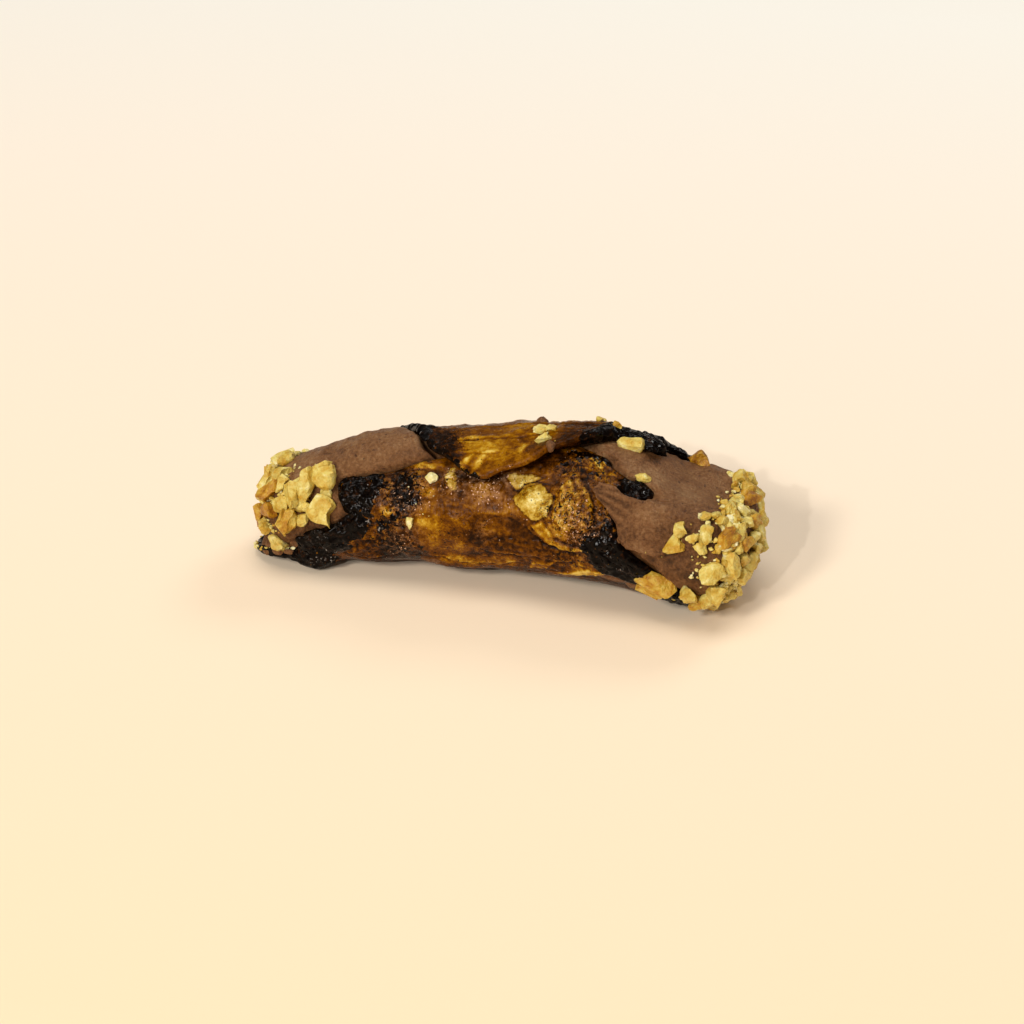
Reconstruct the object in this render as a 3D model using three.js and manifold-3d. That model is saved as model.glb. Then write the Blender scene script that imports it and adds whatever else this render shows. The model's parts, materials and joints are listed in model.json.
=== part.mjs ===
// A chocolate-cream cannoli lying on its side. One sheet of fried dough is rolled corner to corner into
// a tube, so its outer corner laps over the top of the roll and its mouths slant: long underneath, short
// on top. A chocolate cream runs through the tube and swells out of both mouths, and chopped nuts are
// pressed into the cream and a few into the dough.
//
// Millimetres and degrees. +X runs along the roll, -Y is the front, +Z is up and the roll rests on z = 0.
// Places on the roll are given as x along it and as an angle round it: 0 is underneath, 90 the front,
// 180 the top and -90 the back. The dough runs on past the top at the back, down to LAP_ANGLE, which is
// where its outer corner lies on the front.
import * as THREE from "three";
import { ConvexGeometry } from "three/addons/geometries/ConvexGeometry.js";
import { mergeVertices } from "three/addons/utils/BufferGeometryUtils.js";
import Module from "manifold-3d";

// ---- Driving dimensions ------------------------------------------------------------------------------
const DOUGH = 1.9; // thickness of the fried sheet
const LAP_GAP = 0.6; // air between the lapped corner and the dough beneath it
const CREAM_GAP = 0.35; // between the cream and the dough where they come nearest
const INNER_GAP = 0.3; // and this much more along the inside of the tube
const MID_RADIUS = 17.7; // outer radius of the tube, and how it opens out towards the right mouth
const FLARE = { height: 2.3, at: -8, run: 40 };
const TOP_DROP = { height: 4.2, from: 26, to: 46 }; // how far its top sinks towards the right mouth
const TOP_DROP_ANGLES = { from: 110, to: 180 };
const REST_MID = -3; // the roll stands on two spots, this far from the middle and half this span apart
const REST_HALF = 47;
const ARCH = 3.0; // how far the middle is lifted off the table, and how far it bows to the back
const BOW = 2.7;
const ARCH_SOFT = 0.1; // how gently the arch sets off from the resting spots
const FOOT = 0.9; // how much of each resting spot is pressed flat
const LAP_ANGLE = -231; // outer corner of the dough, and its inner corner, hidden under the lap
const TUCK_ANGLE = 185;
const UNDERLAP = { from: 98, to: 136 }; // angles between which the inner corner sinks under the lap
const UNDERLAP_BACK = { from: 185, to: 200 }; // and comes out to the roll's own radius again at the back
const LAP_LIFT = 0.9; // how far the lapped corner stands off, and its right edge besides
const LAP_RIGHT_LIFT = 1.8;
const LAP_LIFT_FROM = -188; // the corner lifts from this angle on, its right edge between these
const LAP_RIGHT_ANGLES = { from: -172, to: -195 };
const LAP_RIGHT_WIDTH = 13; // width of the lifted edge, and where along the roll it sinks back
const LAP_RIGHT_RUN = { from: 38, to: 26 };
const FLAT_BELOW = { from: 15, to: 50 }; // the dough is smooth underneath, and uneven past these angles
const CREAM_LEFT = -62.5; // ends of the cream
const CREAM_RIGHT = 62.2;
// Length and bluntness of each rounded end of the cream, at its side and at its top.
const LEFT_END = { side: 9, top: 21, sidePower: 2.6, topPower: 2.0 };
const RIGHT_END = { side: 14, top: 30, sidePower: 2.5, topPower: 1.75 };
const END_TOP = { from: 95, to: 165 }; // angles between which an end goes from its side to its top form
const RECESS = 2.0; // how far the bare cream lies below the tube's outer radius
const BARE_RUN = { from: -1, to: 3 }; // distance past the dough's edge over which the cream swells out
const CENTRE = { x: -0.4, y: -0.35 }; // middle of the whole, which the part's origin lies under

// Slow rise and fall of the whole sheet: height, and radians for each millimetre along, each radian
// round and at the start.
const WAVES = [
  [0.3, 0.21, 2, 0.6], [0.25, 0.13, -3, 2.1], [0.18, 0.37, 4, -1.2],
];

// Where the sheet's two slanted edges lie: angle round the roll, x along it.
const LEFT_EDGE = [
  [-231, -5], [-228, -7.6], [-224, -9.8], [-219, -12], [-215, -13.2], [-211, -14.8], [-207, -17],
  [-202, -19.3], [-194, -21], [-182, -23], [-170, -25.5], [-150, -31], [-90, -46], [-40, -61],
  [0, -65.8], [20, -65.2], [35, -61.8], [46, -57.5], [52, -54.5], [60, -52], [70, -51], [78, -49.5],
  [84, -46], [90, -42.5], [95, -38.5], [100, -36.8], [106, -37.5], [113, -38.8], [120, -40],
  [127, -41.5], [133, -40.5], [138, -35.5], [142, -29], [147, -24], [152, -19.5], [162, -14],
  [185, -9],
];
const RIGHT_EDGE = [
  [-231, -3], [-228, -1.4], [-224.5, 0.6], [-220.5, 5], [-216, 7.6], [-211, 9.8], [-205, 12.2],
  [-199, 15.8], [-191, 19.8], [-183, 22.6], [-176, 25.3], [-171.5, 29], [-169, 35], [-166, 38],
  [-158, 37], [-148, 36.5], [-135, 39.5], [-115, 45], [-90, 49.5], [-50, 52.5], [0, 52.5], [25, 50.5],
  [45, 47.5], [60, 44.5], [70, 41.5], [80, 37], [88, 33.2], [95, 31.2], [103, 30.2], [115, 30.5],
  [126, 33.5], [132, 36.3], [138, 37.5], [144, 35.5], [149, 30.5], [156, 26.8], [165, 24.5], [175, 18],
  [185, 12],
];
// Blisters and folds raised in the dough: x, angle, half length, half width and height.
const BLISTERS = [
  [9.3, 113, 4.2, 4.5, 1.0], [-4, 122, 7, 3.5, 0.6], [19, 110, 6, 7, 0.6], [-14, 88, 11, 7, 0.8],
  [10, 78, 12, 4, 0.7], [-30, 112, 5, 4, 0.8], [-23, 140, 6, 4, 0.6], [-12, 32, 8, 7, 2.2],
  [-48, 34, 5, 6, 2.6], [27, 36, 9, 7, -2], [5, -155, 10, 10, 0.8], [18, -165, 7, 12, 1.7],
  [-8, -205, 10, 6, 0.6], [0, -110, 9, 7, 0.9], [-26, -100, 8, 6, 0.8], [28, -105, 8, 7, 0.9],
  [-40, -60, 7, 6, 0.7], [38, -70, 7, 6, 0.7], [4, -70, 10, 5, 0.7],
];
// Swellings of the cream beyond its plain form: x, angle, half length, half width and height.
const SWELLS = [
  [-28, 185, 13, 15, 2.6], [-43, 175, 11, 15, 0.8], [-37, 95, 7, 7, 0.4], [50, 60, 10, 14, 1.4],
  [42, 105, 11, 12, 1], [58, 58, 7, 12, 1.6],
];
// The tongue of cream spread out over the dough's front right edge: where it begins at each angle, and
// its limits.
const TONGUE_FROM = [
  [92, 32], [98, 30], [108, 29], [113, 27], [118, 24.8], [124, 22.6], [131, 21.3], [136, 22.5],
];
const TONGUE = { fromAngle: 92, toAngle: 131, soft: 2.5, softAngle: 8, height: 0.95 };
const TONGUE_END = { from: 38, to: 46 };

// Nuts placed one by one: x, angle, length, width as a share of it, and the way it points. The first
// list lies in the cream and the second on the dough.
const CREAM_NUTS = [
  [-45.5, 136, 6.8, 0.85, 15], [-49.5, 129, 8, 0.45, 80], [-53.3, 121, 7.4, 0.6, 85],
  [-45.2, 101, 7.8, 0.92, 40], [-50.3, 109, 4.9, 0.65, 0], [-55.5, 107, 4.4, 0.9, 60],
  [-56.5, 128, 4.4, 0.7, 80], [-58.6, 117, 5.6, 0.65, 80], [-58.4, 98, 5.4, 0.85, 60],
  [-54, 92, 6.6, 0.7, 80], [-50.3, 95, 3.4, 0.8, 70], [-57.6, 150, 3.0, 0.8, 60],
  [-57, 141, 5.6, 0.45, 50], [-44.5, 121, 2.6, 0.9, 0], [41.6, 69, 9.2, 0.6, 170],
  [48.6, 62, 5.4, 0.75, 100], [44.6, 104, 4.5, 0.98, 0], [46, 113, 4.3, 0.75, 80],
  [52, 110, 4.4, 0.65, 75], [51, 124.5, 2.8, 0.9, 0], [53.4, 126, 2.6, 0.8, 30],
  [49.3, 108, 2.9, 0.7, 40], [51.2, 101, 3.2, 0.8, 150], [57.2, 104, 5.2, 0.95, 30],
  [56, 138, 3.8, 0.8, 60], [54.6, 147, 2.9, 0.7, 90], [45.4, 226, 5.4, 0.7, 0],
  [29.5, 184, 6, 0.55, 0], [34.6, 150, 3.6, 0.75, 10], [54, 82, 5.6, 0.8, 20], [58, 84, 5.2, 0.8, 100],
  [55, 64, 5.6, 0.8, 90], [53.5, 54, 5, 0.7, 10],
];
const DOUGH_NUTS = [
  [7, -183, 2.9, 0.9, 0], [9.8, -182, 2.9, 0.9, 60], [8.8, -195, 3.6, 0.7, 20],
  [25, -165, 3.4, 0.7, 90], [20.5, -155, 2.4, 0.8, 0], [-18, 131.5, 2.9, 0.85, 0],
  [-22.2, 93.5, 2.8, 0.62, 85],
];
// Nuts strewn over each end: how many are tried, their sizes, how far apart they lie as a share of their
// size, and the x past which they lie at each angle.
const STREWN = [
  {
    side: -1, seed: 11, tries: 900, length: [3.6, 6.4], apart: 0.8,
    limit: [
      [0, -56], [60, -56], [80, -53], [86, -50], [93, -43], [108, -43], [112, -47.5], [122, -47.5],
      [127, -43], [141, -43], [146, -54], [150, -57], [180, -58], [270, -57], [360, -56],
    ],
  },
  {
    side: 1, seed: 23, tries: 1500, length: [3.2, 5.4], apart: 0.78,
    limit: [
      [0, 54], [40, 50.5], [60, 51], [75, 53], [88, 54], [100, 57], [112, 56], [125, 54], [150, 54.5],
      [180, 56], [220, 56], [300, 55], [360, 54],
    ],
  },
];
const STREWN_FROM = 45; // no strewn nut lies nearer the middle than this, or past this share of an end
const STREWN_TO_SHARE = 0.99;
const NUT_INSET = 0.35; // least share of its length from the dough's edge, and from the table
const NUT_ABOVE_TABLE = 0.5;
const NUT_SHAPE = {
  corners: 9, stretch: 1.22, jitter: 0.16, flat: [0.5, 0.75], narrow: [0.62, 0.95], tilt: 20, stand: 0.27,
};

// ---- Fineness of the faceted solids ------------------------------------------------------------------
// Spans of angle with the number of rows in each, and places of the cream's rings along the roll.
const SHEET_ROWS = [
  [LAP_ANGLE, -182, 13], [-182, -32, 11], [-32, 32, 8], [32, 90, 5], [90, 152, 10], [152, TUCK_ANGLE, 3],
];
const SHEET_ALONG = 22;
const CREAM_RINGS = [
  -62.1, -60.2, -57, -52.5, -48, -43.5, -39, -34, -29, -24, -19, -8, 6, 18.5, 21, 23.5, 26, 28.5, 31,
  34.5, 39, 43.5, 48, 52, 55.5, 58.5, 60.8, 62,
];
const CREAM_SIDES = [[84, 136, 8], [136, 200, 7], [200, 444, 20]];
const WELD = 1e-4; // points closer than this are one
const GOLDEN_ANGLE = Math.PI * (3 - Math.sqrt(5)); // sets points evenly over a ball

// ---- Small helpers -----------------------------------------------------------------------------------
const radians = (degrees) => (degrees * Math.PI) / 180;
const clamp = (v, low, high) => Math.min(high, Math.max(low, v));
const mix = (a, b, share) => a + (b - a) * share;
const smooth = (from, to, v) => {
  const s = clamp((v - from) / (to - from), 0, 1);
  return s * s * (3 - 2 * s);
};
// Degrees from one angle to another, the short way round.
const turn = (from, to) => ((((to - from + 180) % 360) + 360) % 360) - 180;
const smoothOver = (span, v) => smooth(span.from, span.to, v);

// The value at t of a smooth curve through the knots [t, value].
function through(knots, t) {
  const last = knots.length - 1;
  let i = 0;
  while (i < last - 1 && t > knots[i + 1][0]) i++;
  const slope = (k) => {
    const a = knots[Math.max(k - 1, 0)];
    const b = knots[Math.min(k + 1, last)];
    return (b[1] - a[1]) / (b[0] - a[0]);
  };
  const width = knots[i + 1][0] - knots[i][0];
  const s = clamp((t - knots[i][0]) / width, 0, 1);
  const rise = s * s * (3 - 2 * s);
  const bend = width * s * (1 - s) * ((1 - s) * slope(i) - s * slope(i + 1));
  return mix(knots[i][1], knots[i + 1][1], rise) + bend;
}

// Evenly spaced values over each span [from, to, count], without the last value of all.
const spread = (spans) =>
  spans.flatMap(([from, to, count]) =>
    Array.from({ length: count }, (_, i) => mix(from, to, i / count)),
  );

// A seeded source of numbers from 0 to 1.
function randomFrom(seed) {
  let state = seed >>> 0;
  return () => {
    state = (state + 0x6d2b79f5) >>> 0;
    let mixed = Math.imul(state ^ (state >>> 15), state | 1);
    mixed ^= mixed + Math.imul(mixed ^ (mixed >>> 7), mixed | 61);
    return ((mixed ^ (mixed >>> 14)) >>> 0) / 4294967296;
  };
}

// ---- The form of the roll ----------------------------------------------------------------------------
// 0 over the front, the back and underneath, and 1 over the top.
const topShare = (span, angle) => smoothOver(span, Math.abs(turn(0, angle)));

function tubeRadius(x, angle) {
  const flared = MID_RADIUS + FLARE.height * Math.tanh((x - FLARE.at) / FLARE.run);
  return flared - TOP_DROP.height * smoothOver(TOP_DROP, x) * topShare(TOP_DROP_ANGLES, angle);
}

// 1 in the middle of the arch, 0 over the two resting spots, and above 0 again past them.
function archShare(x) {
  const u = (x - REST_MID) / REST_HALF;
  return Math.hypot(1 - u * u, ARCH_SOFT) - ARCH_SOFT;
}

// A point at this radius from the roll's bent axis. Nothing reaches below the table.
function onRoll(x, angle, radius) {
  const u = (x - REST_MID) / REST_HALF;
  const axisY = BOW * (1 - u * u);
  const axisZ = tubeRadius(x, 0) + ARCH * archShare(x) - FOOT;
  const y = axisY - radius * Math.sin(radians(angle));
  const z = axisZ - radius * Math.cos(radians(angle));
  return new THREE.Vector3(x - CENTRE.x, y - CENTRE.y, Math.max(z, 0));
}

// 0 underneath, where the dough is pressed flat, and 1 from halfway up each side.
const clearOfTable = (angle) => smoothOver(FLAT_BELOW, Math.abs(turn(0, angle)));

function waves(x, angle) {
  const heights = WAVES.map(
    ([height, along, round, start]) => height * Math.sin(along * x + round * radians(angle) + start),
  );
  return heights.reduce((a, b) => a + b) * clearOfTable(angle);
}

// The height here of the rounded bumps in a list. away gives the degrees from a bump's middle to here.
function raised(places, x, away) {
  let height = 0;
  for (const [atX, atAngle, halfLength, halfWidth, top] of places) {
    const along = (x - atX) / halfLength;
    const round = (radians(away(atAngle)) * MID_RADIUS) / halfWidth;
    height += top * Math.exp(-((along * along + round * round) ** 1.5));
  }
  return height;
}

// How far the sheet departs from a plain tube, so that its outer corner lies on top of its inner one.
function lapOffset(x, angle) {
  const tucked = -(DOUGH + LAP_GAP) * smoothOver(UNDERLAP, angle);
  const cornerShare = smooth(LAP_LIFT_FROM, LAP_ANGLE, angle);
  const fromRightEdge = through(RIGHT_EDGE, angle) - x;
  const rightShare =
    smooth(LAP_RIGHT_WIDTH, 0, fromRightEdge) *
    smoothOver(LAP_RIGHT_ANGLES, angle) *
    smoothOver(LAP_RIGHT_RUN, x);
  return tucked + LAP_LIFT * cornerShare + LAP_RIGHT_LIFT * rightShare;
}

const doughMiddle = (x, angle) => tubeRadius(x, angle) + lapOffset(x, angle) + waves(x, angle);
// The blisters puff up the outside of the sheet only.
const doughOutside = (x, angle) =>
  doughMiddle(x, angle) + raised(BLISTERS, x, (at) => angle - at) * clearOfTable(angle);
const doughInside = (x, angle) => doughMiddle(x, angle) - DOUGH;

// ---- Solids from grids -------------------------------------------------------------------------------
const { Manifold, Mesh } = await (async () => {
  const wasm = await Module();
  wasm.setup();
  return wasm;
})();

function solidFrom(geometry) {
  const bare = geometry.clone();
  bare.deleteAttribute("normal");
  bare.deleteAttribute("uv");
  const merged = mergeVertices(bare, WELD);
  const vertProperties = merged.attributes.position.array;
  const triVerts = new Uint32Array(merged.index.array);
  return new Manifold(new Mesh({ numProp: 3, vertProperties, triVerts }));
}

function geometryFrom(points, triangles) {
  const geometry = new THREE.BufferGeometry();
  const positions = points.flatMap((p) => [p.x, p.y, p.z]);
  geometry.setAttribute("position", new THREE.Float32BufferAttribute(positions, 3));
  geometry.setIndex(triangles);
  return geometry;
}

// The rolled sheet as a closed solid, grown on every side by the given clearance.
function doughSolid(clearance) {
  const points = [];
  const triangles = [];
  const rowAngles = [...spread(SHEET_ROWS), TUCK_ANGLE];
  const overlap = clearance / (MID_RADIUS * radians(1));
  rowAngles[0] -= overlap;
  rowAngles[rowAngles.length - 1] += overlap;
  const rows = rowAngles.length;
  const columns = SHEET_ALONG + 1;
  const outer = (x, angle) => doughOutside(x, angle) + clearance;
  const inner = (x, angle) => doughInside(x, angle) - clearance;
  for (const radiusAt of [outer, inner]) {
    for (const angle of rowAngles) {
      const left = through(LEFT_EDGE, angle) - clearance;
      const right = through(RIGHT_EDGE, angle) + clearance;
      for (let j = 0; j < columns; j++) {
        const x = mix(left, right, j / SHEET_ALONG);
        points.push(onRoll(x, angle, radiusAt(x, angle)));
      }
    }
  }
  const at = (layer, i, j) => (layer * rows + i) * columns + j;
  const quad = (a, b, c, d) => triangles.push(a, b, c, a, c, d);
  const end = SHEET_ALONG;
  for (let i = 0; i < rows - 1; i++) {
    for (let j = 0; j < end; j++) {
      quad(at(0, i, j), at(0, i, j + 1), at(0, i + 1, j + 1), at(0, i + 1, j));
      quad(at(1, i, j), at(1, i + 1, j), at(1, i + 1, j + 1), at(1, i, j + 1));
    }
    quad(at(0, i, 0), at(0, i + 1, 0), at(1, i + 1, 0), at(1, i, 0));
    quad(at(0, i + 1, end), at(0, i, end), at(1, i, end), at(1, i + 1, end));
  }
  for (let j = 0; j < end; j++) {
    quad(at(0, 0, j + 1), at(0, 0, j), at(1, 0, j), at(1, 0, j + 1));
    quad(at(0, rows - 1, j), at(0, rows - 1, j + 1), at(1, rows - 1, j + 1), at(1, rows - 1, j));
  }
  return solidFrom(geometryFrom(points, triangles));
}

// ---- The cream ---------------------------------------------------------------------------------------
// How rounded off the cream is: 1 along the roll, falling to 0 at each end, sooner on top.
function endShare(x, angle) {
  const top = topShare(END_TOP, angle);
  const leftRun = mix(LEFT_END.side, LEFT_END.top, top);
  const rightRun = mix(RIGHT_END.side, RIGHT_END.top, top);
  const leftPower = mix(LEFT_END.sidePower, LEFT_END.topPower, top);
  const rightPower = mix(RIGHT_END.sidePower, RIGHT_END.topPower, top);
  const left = clamp((CREAM_LEFT + leftRun - x) / leftRun, 0, 1);
  const right = clamp((x - CREAM_RIGHT + rightRun) / rightRun, 0, 1);
  const leftShare = (1 - left ** leftPower) ** (1 / leftPower);
  return leftShare * (1 - right ** rightPower) ** (1 / rightPower);
}

// How far past the dough's edges this place lies, in x: above 0 where the cream is bare.
function bareDistance(x, angle) {
  const turned = turn(0, angle);
  const onSheet = (a) => a >= LAP_ANGLE && a <= TUCK_ANGLE;
  const layers = [turned, turned - 360, turned + 360].filter(onSheet);
  const left = Math.min(...layers.map((a) => through(LEFT_EDGE, a)));
  const right = Math.max(...layers.map((a) => through(RIGHT_EDGE, a)));
  return Math.max(left - x, x - right);
}

// 1 on the tongue of cream over the dough, fading at its sides.
function tongueShare(x, angle) {
  const turned = turn(0, angle);
  const from = through(TONGUE_FROM, clamp(turned, TONGUE_FROM[0][0], TONGUE_FROM.at(-1)[0]));
  return (
    smooth(from, from + TONGUE.soft, x) *
    smooth(TONGUE.fromAngle - TONGUE.softAngle, TONGUE.fromAngle, turned) *
    (1 - smooth(TONGUE.toAngle, TONGUE.toAngle + TONGUE.softAngle, turned)) *
    (1 - smoothOver(TONGUE_END, x))
  );
}

function creamRadius(x, angle) {
  const turned = turn(0, angle);
  const tube = tubeRadius(x, angle);
  const backShare = 1 - smoothOver(UNDERLAP_BACK, Math.abs(turned));
  const tucked = (DOUGH + LAP_GAP) * smoothOver(UNDERLAP, turned) * backShare;
  const inside = tube - tucked + waves(x, angle) - DOUGH - CREAM_GAP - INNER_GAP;
  const outside = tube - RECESS + raised(SWELLS, x, (at) => turn(at, angle));
  const plain = mix(inside, outside, smoothOver(BARE_RUN, bareDistance(x, angle)));
  const overDough = tube + waves(x, angle) + TONGUE.height;
  return mix(plain, Math.max(plain, overDough), tongueShare(x, angle)) * endShare(x, angle);
}

// The cream's surface, from one end at share -1 to the other at share 1.
const creamMiddle = (CREAM_LEFT + CREAM_RIGHT) / 2;
const creamHalf = (CREAM_RIGHT - CREAM_LEFT) / 2;
const creamX = (share) => creamMiddle + creamHalf * Math.sin((share * Math.PI) / 2);
const creamShare = (x) => Math.asin((x - creamMiddle) / creamHalf) / (Math.PI / 2);
const creamPoint = (share, angle) => onRoll(creamX(share), angle, creamRadius(creamX(share), angle));

function creamSolid() {
  const rings = CREAM_RINGS.map(creamShare);
  const angles = spread(CREAM_SIDES);
  const sides = angles.length;
  const points = rings.flatMap((share) => angles.map((angle) => creamPoint(share, angle)));
  const leftPole = points.push(creamPoint(-1, 0)) - 1;
  const rightPole = points.push(creamPoint(1, 0)) - 1;
  const triangles = [];
  const last = rings.length - 1;
  const at = (i, k) => i * sides + (k % sides);
  for (let k = 0; k < sides; k++) {
    triangles.push(leftPole, at(0, k), at(0, k + 1));
    triangles.push(rightPole, at(last, k + 1), at(last, k));
    for (let i = 0; i < last; i++) {
      triangles.push(at(i, k), at(i + 1, k), at(i + 1, k + 1));
      triangles.push(at(i, k), at(i + 1, k + 1), at(i, k + 1));
    }
  }
  return solidFrom(geometryFrom(points, triangles));
}

// ---- The nuts ----------------------------------------------------------------------------------------
// One chopped piece: an uneven many-sided lump, flattened, pointed along the surface and then tilted.
function nutSolid(frame, nut, random) {
  const corners = [];
  const jitter = () => NUT_SHAPE.jitter * (2 * random() - 1);
  for (let i = 0; i < NUT_SHAPE.corners; i++) {
    const height = 1 - (2 * i + 1) / NUT_SHAPE.corners;
    const round = GOLDEN_ANGLE * i + 2 * jitter();
    const reach = Math.sqrt(1 - height * height);
    const corner = new THREE.Vector3(reach * Math.cos(round), reach * Math.sin(round), height);
    corners.push(corner.multiplyScalar(NUT_SHAPE.stretch + jitter()));
  }
  const lump = new ConvexGeometry(corners);
  const thick = nut.length * mix(...NUT_SHAPE.flat, random());
  lump.rotateX(radians(360 * random()));
  lump.scale(nut.length / 2, (nut.length * nut.narrow) / 2, thick / 2);
  lump.rotateZ(radians(nut.points));
  lump.rotateX(radians(NUT_SHAPE.tilt * (2 * random() - 1)));
  lump.rotateY(radians(NUT_SHAPE.tilt * (2 * random() - 1)));
  const { place, along, round, outward } = frame;
  const lie = new THREE.Matrix4().makeBasis(along, round, outward);
  lie.setPosition(place.clone().addScaledVector(outward, thick * NUT_SHAPE.stand));
  return solidFrom(lump.applyMatrix4(lie));
}

// The place on a surface given by two parameters, with its directions along, round and outward. The
// steps are how far to look each way for the directions.
function frameAt(surface, a, b, stepA, stepB) {
  const along = surface(a + stepA, b).sub(surface(a - stepA, b)).normalize();
  const round = surface(a, b + stepB).sub(surface(a, b - stepB)).normalize();
  const outward = along.clone().cross(round).normalize();
  return { place: surface(a, b), along, round: outward.clone().cross(along), outward };
}

const creamFrame = (x, angle) => frameAt(creamPoint, creamShare(x), angle, 0.01, 2);
const doughPoint = (x, angle) => onRoll(x, angle, doughOutside(x, angle));
const doughFrame = (x, angle) => frameAt(doughPoint, x, angle, 0.3, 2);
const placed = (list) =>
  list.map(([x, angle, length, narrow, points]) => ({ x, angle, length, narrow, points }));

// Nuts thrown at random over one end of the cream, each kept only if it lies clear of those before it.
function strewn(region, taken, random) {
  const kept = [];
  const placeOf = (nut) => creamFrame(nut.x, nut.angle).place;
  const places = taken.map((nut) => ({ place: placeOf(nut), length: nut.length }));
  for (let i = 0; i < region.tries; i++) {
    const share = mix(creamShare(STREWN_FROM), STREWN_TO_SHARE, random());
    const nut = { x: creamX(region.side * share), angle: 360 * random() };
    nut.length = mix(...region.length, random());
    nut.narrow = mix(...NUT_SHAPE.narrow, random());
    nut.points = 360 * random();
    const place = placeOf(nut);
    const apartFrom = (other) =>
      other.place.distanceTo(place) > (region.apart * (nut.length + other.length)) / 2;
    const inRegion = region.side * (nut.x - through(region.limit, nut.angle)) > 0;
    const onCream = bareDistance(nut.x, nut.angle) > nut.length * NUT_INSET;
    const high = place.z > nut.length * NUT_ABOVE_TABLE;
    if (inRegion && onCream && high && places.every(apartFrom)) {
      places.push({ place, length: nut.length });
      kept.push(nut);
    }
  }
  return kept;
}

function creamNuts() {
  const nuts = placed(CREAM_NUTS);
  for (const region of STREWN) nuts.push(...strewn(region, nuts, randomFrom(region.seed)));
  const random = randomFrom(5);
  return nuts.map((nut) => nutSolid(creamFrame(nut.x, nut.angle), nut, random));
}

function doughNuts() {
  const random = randomFrom(7);
  return placed(DOUGH_NUTS).map((nut) => nutSolid(doughFrame(nut.x, nut.angle), nut, random));
}

// ---- The part ----------------------------------------------------------------------------------------
const largestOf = (solid) => solid.decompose().sort((a, b) => b.volume() - a.volume())[0];

function meshFrom(name, solid, look) {
  const made = solid.getMesh();
  const geometry = new THREE.BufferGeometry();
  geometry.setAttribute("position", new THREE.BufferAttribute(made.vertProperties, 3));
  geometry.setIndex(new THREE.BufferAttribute(made.triVerts, 1));
  geometry.computeVertexNormals();
  const mesh = new THREE.Mesh(geometry, new THREE.MeshStandardMaterial(look));
  mesh.name = name;
  return mesh;
}

const shell = largestOf(Manifold.union([doughSolid(0), ...doughNuts()]));
const filling = largestOf(Manifold.union([creamSolid(), ...creamNuts()]).subtract(doughSolid(CREAM_GAP)));

const cannoli = new THREE.Group();
cannoli.add(meshFrom("shell", shell, { color: 0x8a5714, roughness: 0.4, metalness: 0 }));
cannoli.add(meshFrom("filling", filling, { color: 0x80583c, roughness: 0.6, metalness: 0 }));

export default cannoli;
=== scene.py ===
# Looks of a chocolate-cream cannoli: a rolled sheet of fried dough with its ends dipped in dark
# chocolate, chocolate cream swelling out of both mouths, and chopped nuts pressed into the cream.
# Sizes here are in millimetres until a mesh is made, and angles in degrees. A place on the roll is x
# along it and an angle round it: 0 is underneath, 90 the front, 180 the top and -90 the back. The
# sheet runs on past the top at the back and down to LAP_ANGLE.
import json
import math

import bmesh
import bpy
import numpy as np
from mathutils import Matrix, Vector

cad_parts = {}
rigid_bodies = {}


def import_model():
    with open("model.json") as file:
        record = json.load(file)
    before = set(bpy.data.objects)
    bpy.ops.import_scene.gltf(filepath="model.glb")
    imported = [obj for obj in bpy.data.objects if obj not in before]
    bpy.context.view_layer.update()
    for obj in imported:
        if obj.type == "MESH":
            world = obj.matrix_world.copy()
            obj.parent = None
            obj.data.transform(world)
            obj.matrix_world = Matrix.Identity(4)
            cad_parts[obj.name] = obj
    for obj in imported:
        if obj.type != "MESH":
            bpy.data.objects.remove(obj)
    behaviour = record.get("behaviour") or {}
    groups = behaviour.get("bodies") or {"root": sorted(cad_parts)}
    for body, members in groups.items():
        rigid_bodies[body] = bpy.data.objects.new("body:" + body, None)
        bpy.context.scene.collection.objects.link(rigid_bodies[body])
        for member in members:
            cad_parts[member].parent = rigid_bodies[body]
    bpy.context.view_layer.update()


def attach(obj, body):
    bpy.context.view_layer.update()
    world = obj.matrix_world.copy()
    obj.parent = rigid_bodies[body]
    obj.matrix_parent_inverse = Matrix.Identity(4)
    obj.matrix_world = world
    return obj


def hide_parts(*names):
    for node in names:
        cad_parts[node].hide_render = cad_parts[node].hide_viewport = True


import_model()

MM = 0.001

# ---- Form of the roll, as in the part's source ---------------------------------------------------
DOUGH = 1.9
LAP_GAP = 0.6
MID_RADIUS = 17.7
FLARE_HEIGHT, FLARE_AT, FLARE_RUN = 2.3, -8, 40
TOP_DROP, TOP_DROP_FROM, TOP_DROP_TO = 4.2, 26, 46
REST_MID, REST_HALF = -3, 47
ARCH, BOW, FOOT = 3.0, 2.7, 0.9
LAP_ANGLE, TUCK_ANGLE = -231, 185
LAP_LIFT, LAP_RIGHT_LIFT = 0.9, 1.8
CREAM_LEFT, CREAM_RIGHT = -62.5, 62.2
LEFT_END = {"side": 9, "top": 21, "side_power": 2.6, "top_power": 2.0}
RIGHT_END = {"side": 14, "top": 30, "side_power": 2.5, "top_power": 1.75}
RECESS = 2.0
CENTRE_X, CENTRE_Y = -0.4, -0.35
TUCK_FROM, TUCK_TO = 98, 136  # angles over which the inner layer dips under the flap
TABLE_FROM, TABLE_TO = 15, 50  # angles over which relief grows, from none where the roll rests
# Height of each long wave in the dough, its ripples along and round the roll, and where it starts.
WAVES = [(0.3, 0.21, 2, 0.6), (0.25, 0.13, -3, 2.1), (0.18, 0.37, 4, -1.2)]

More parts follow.
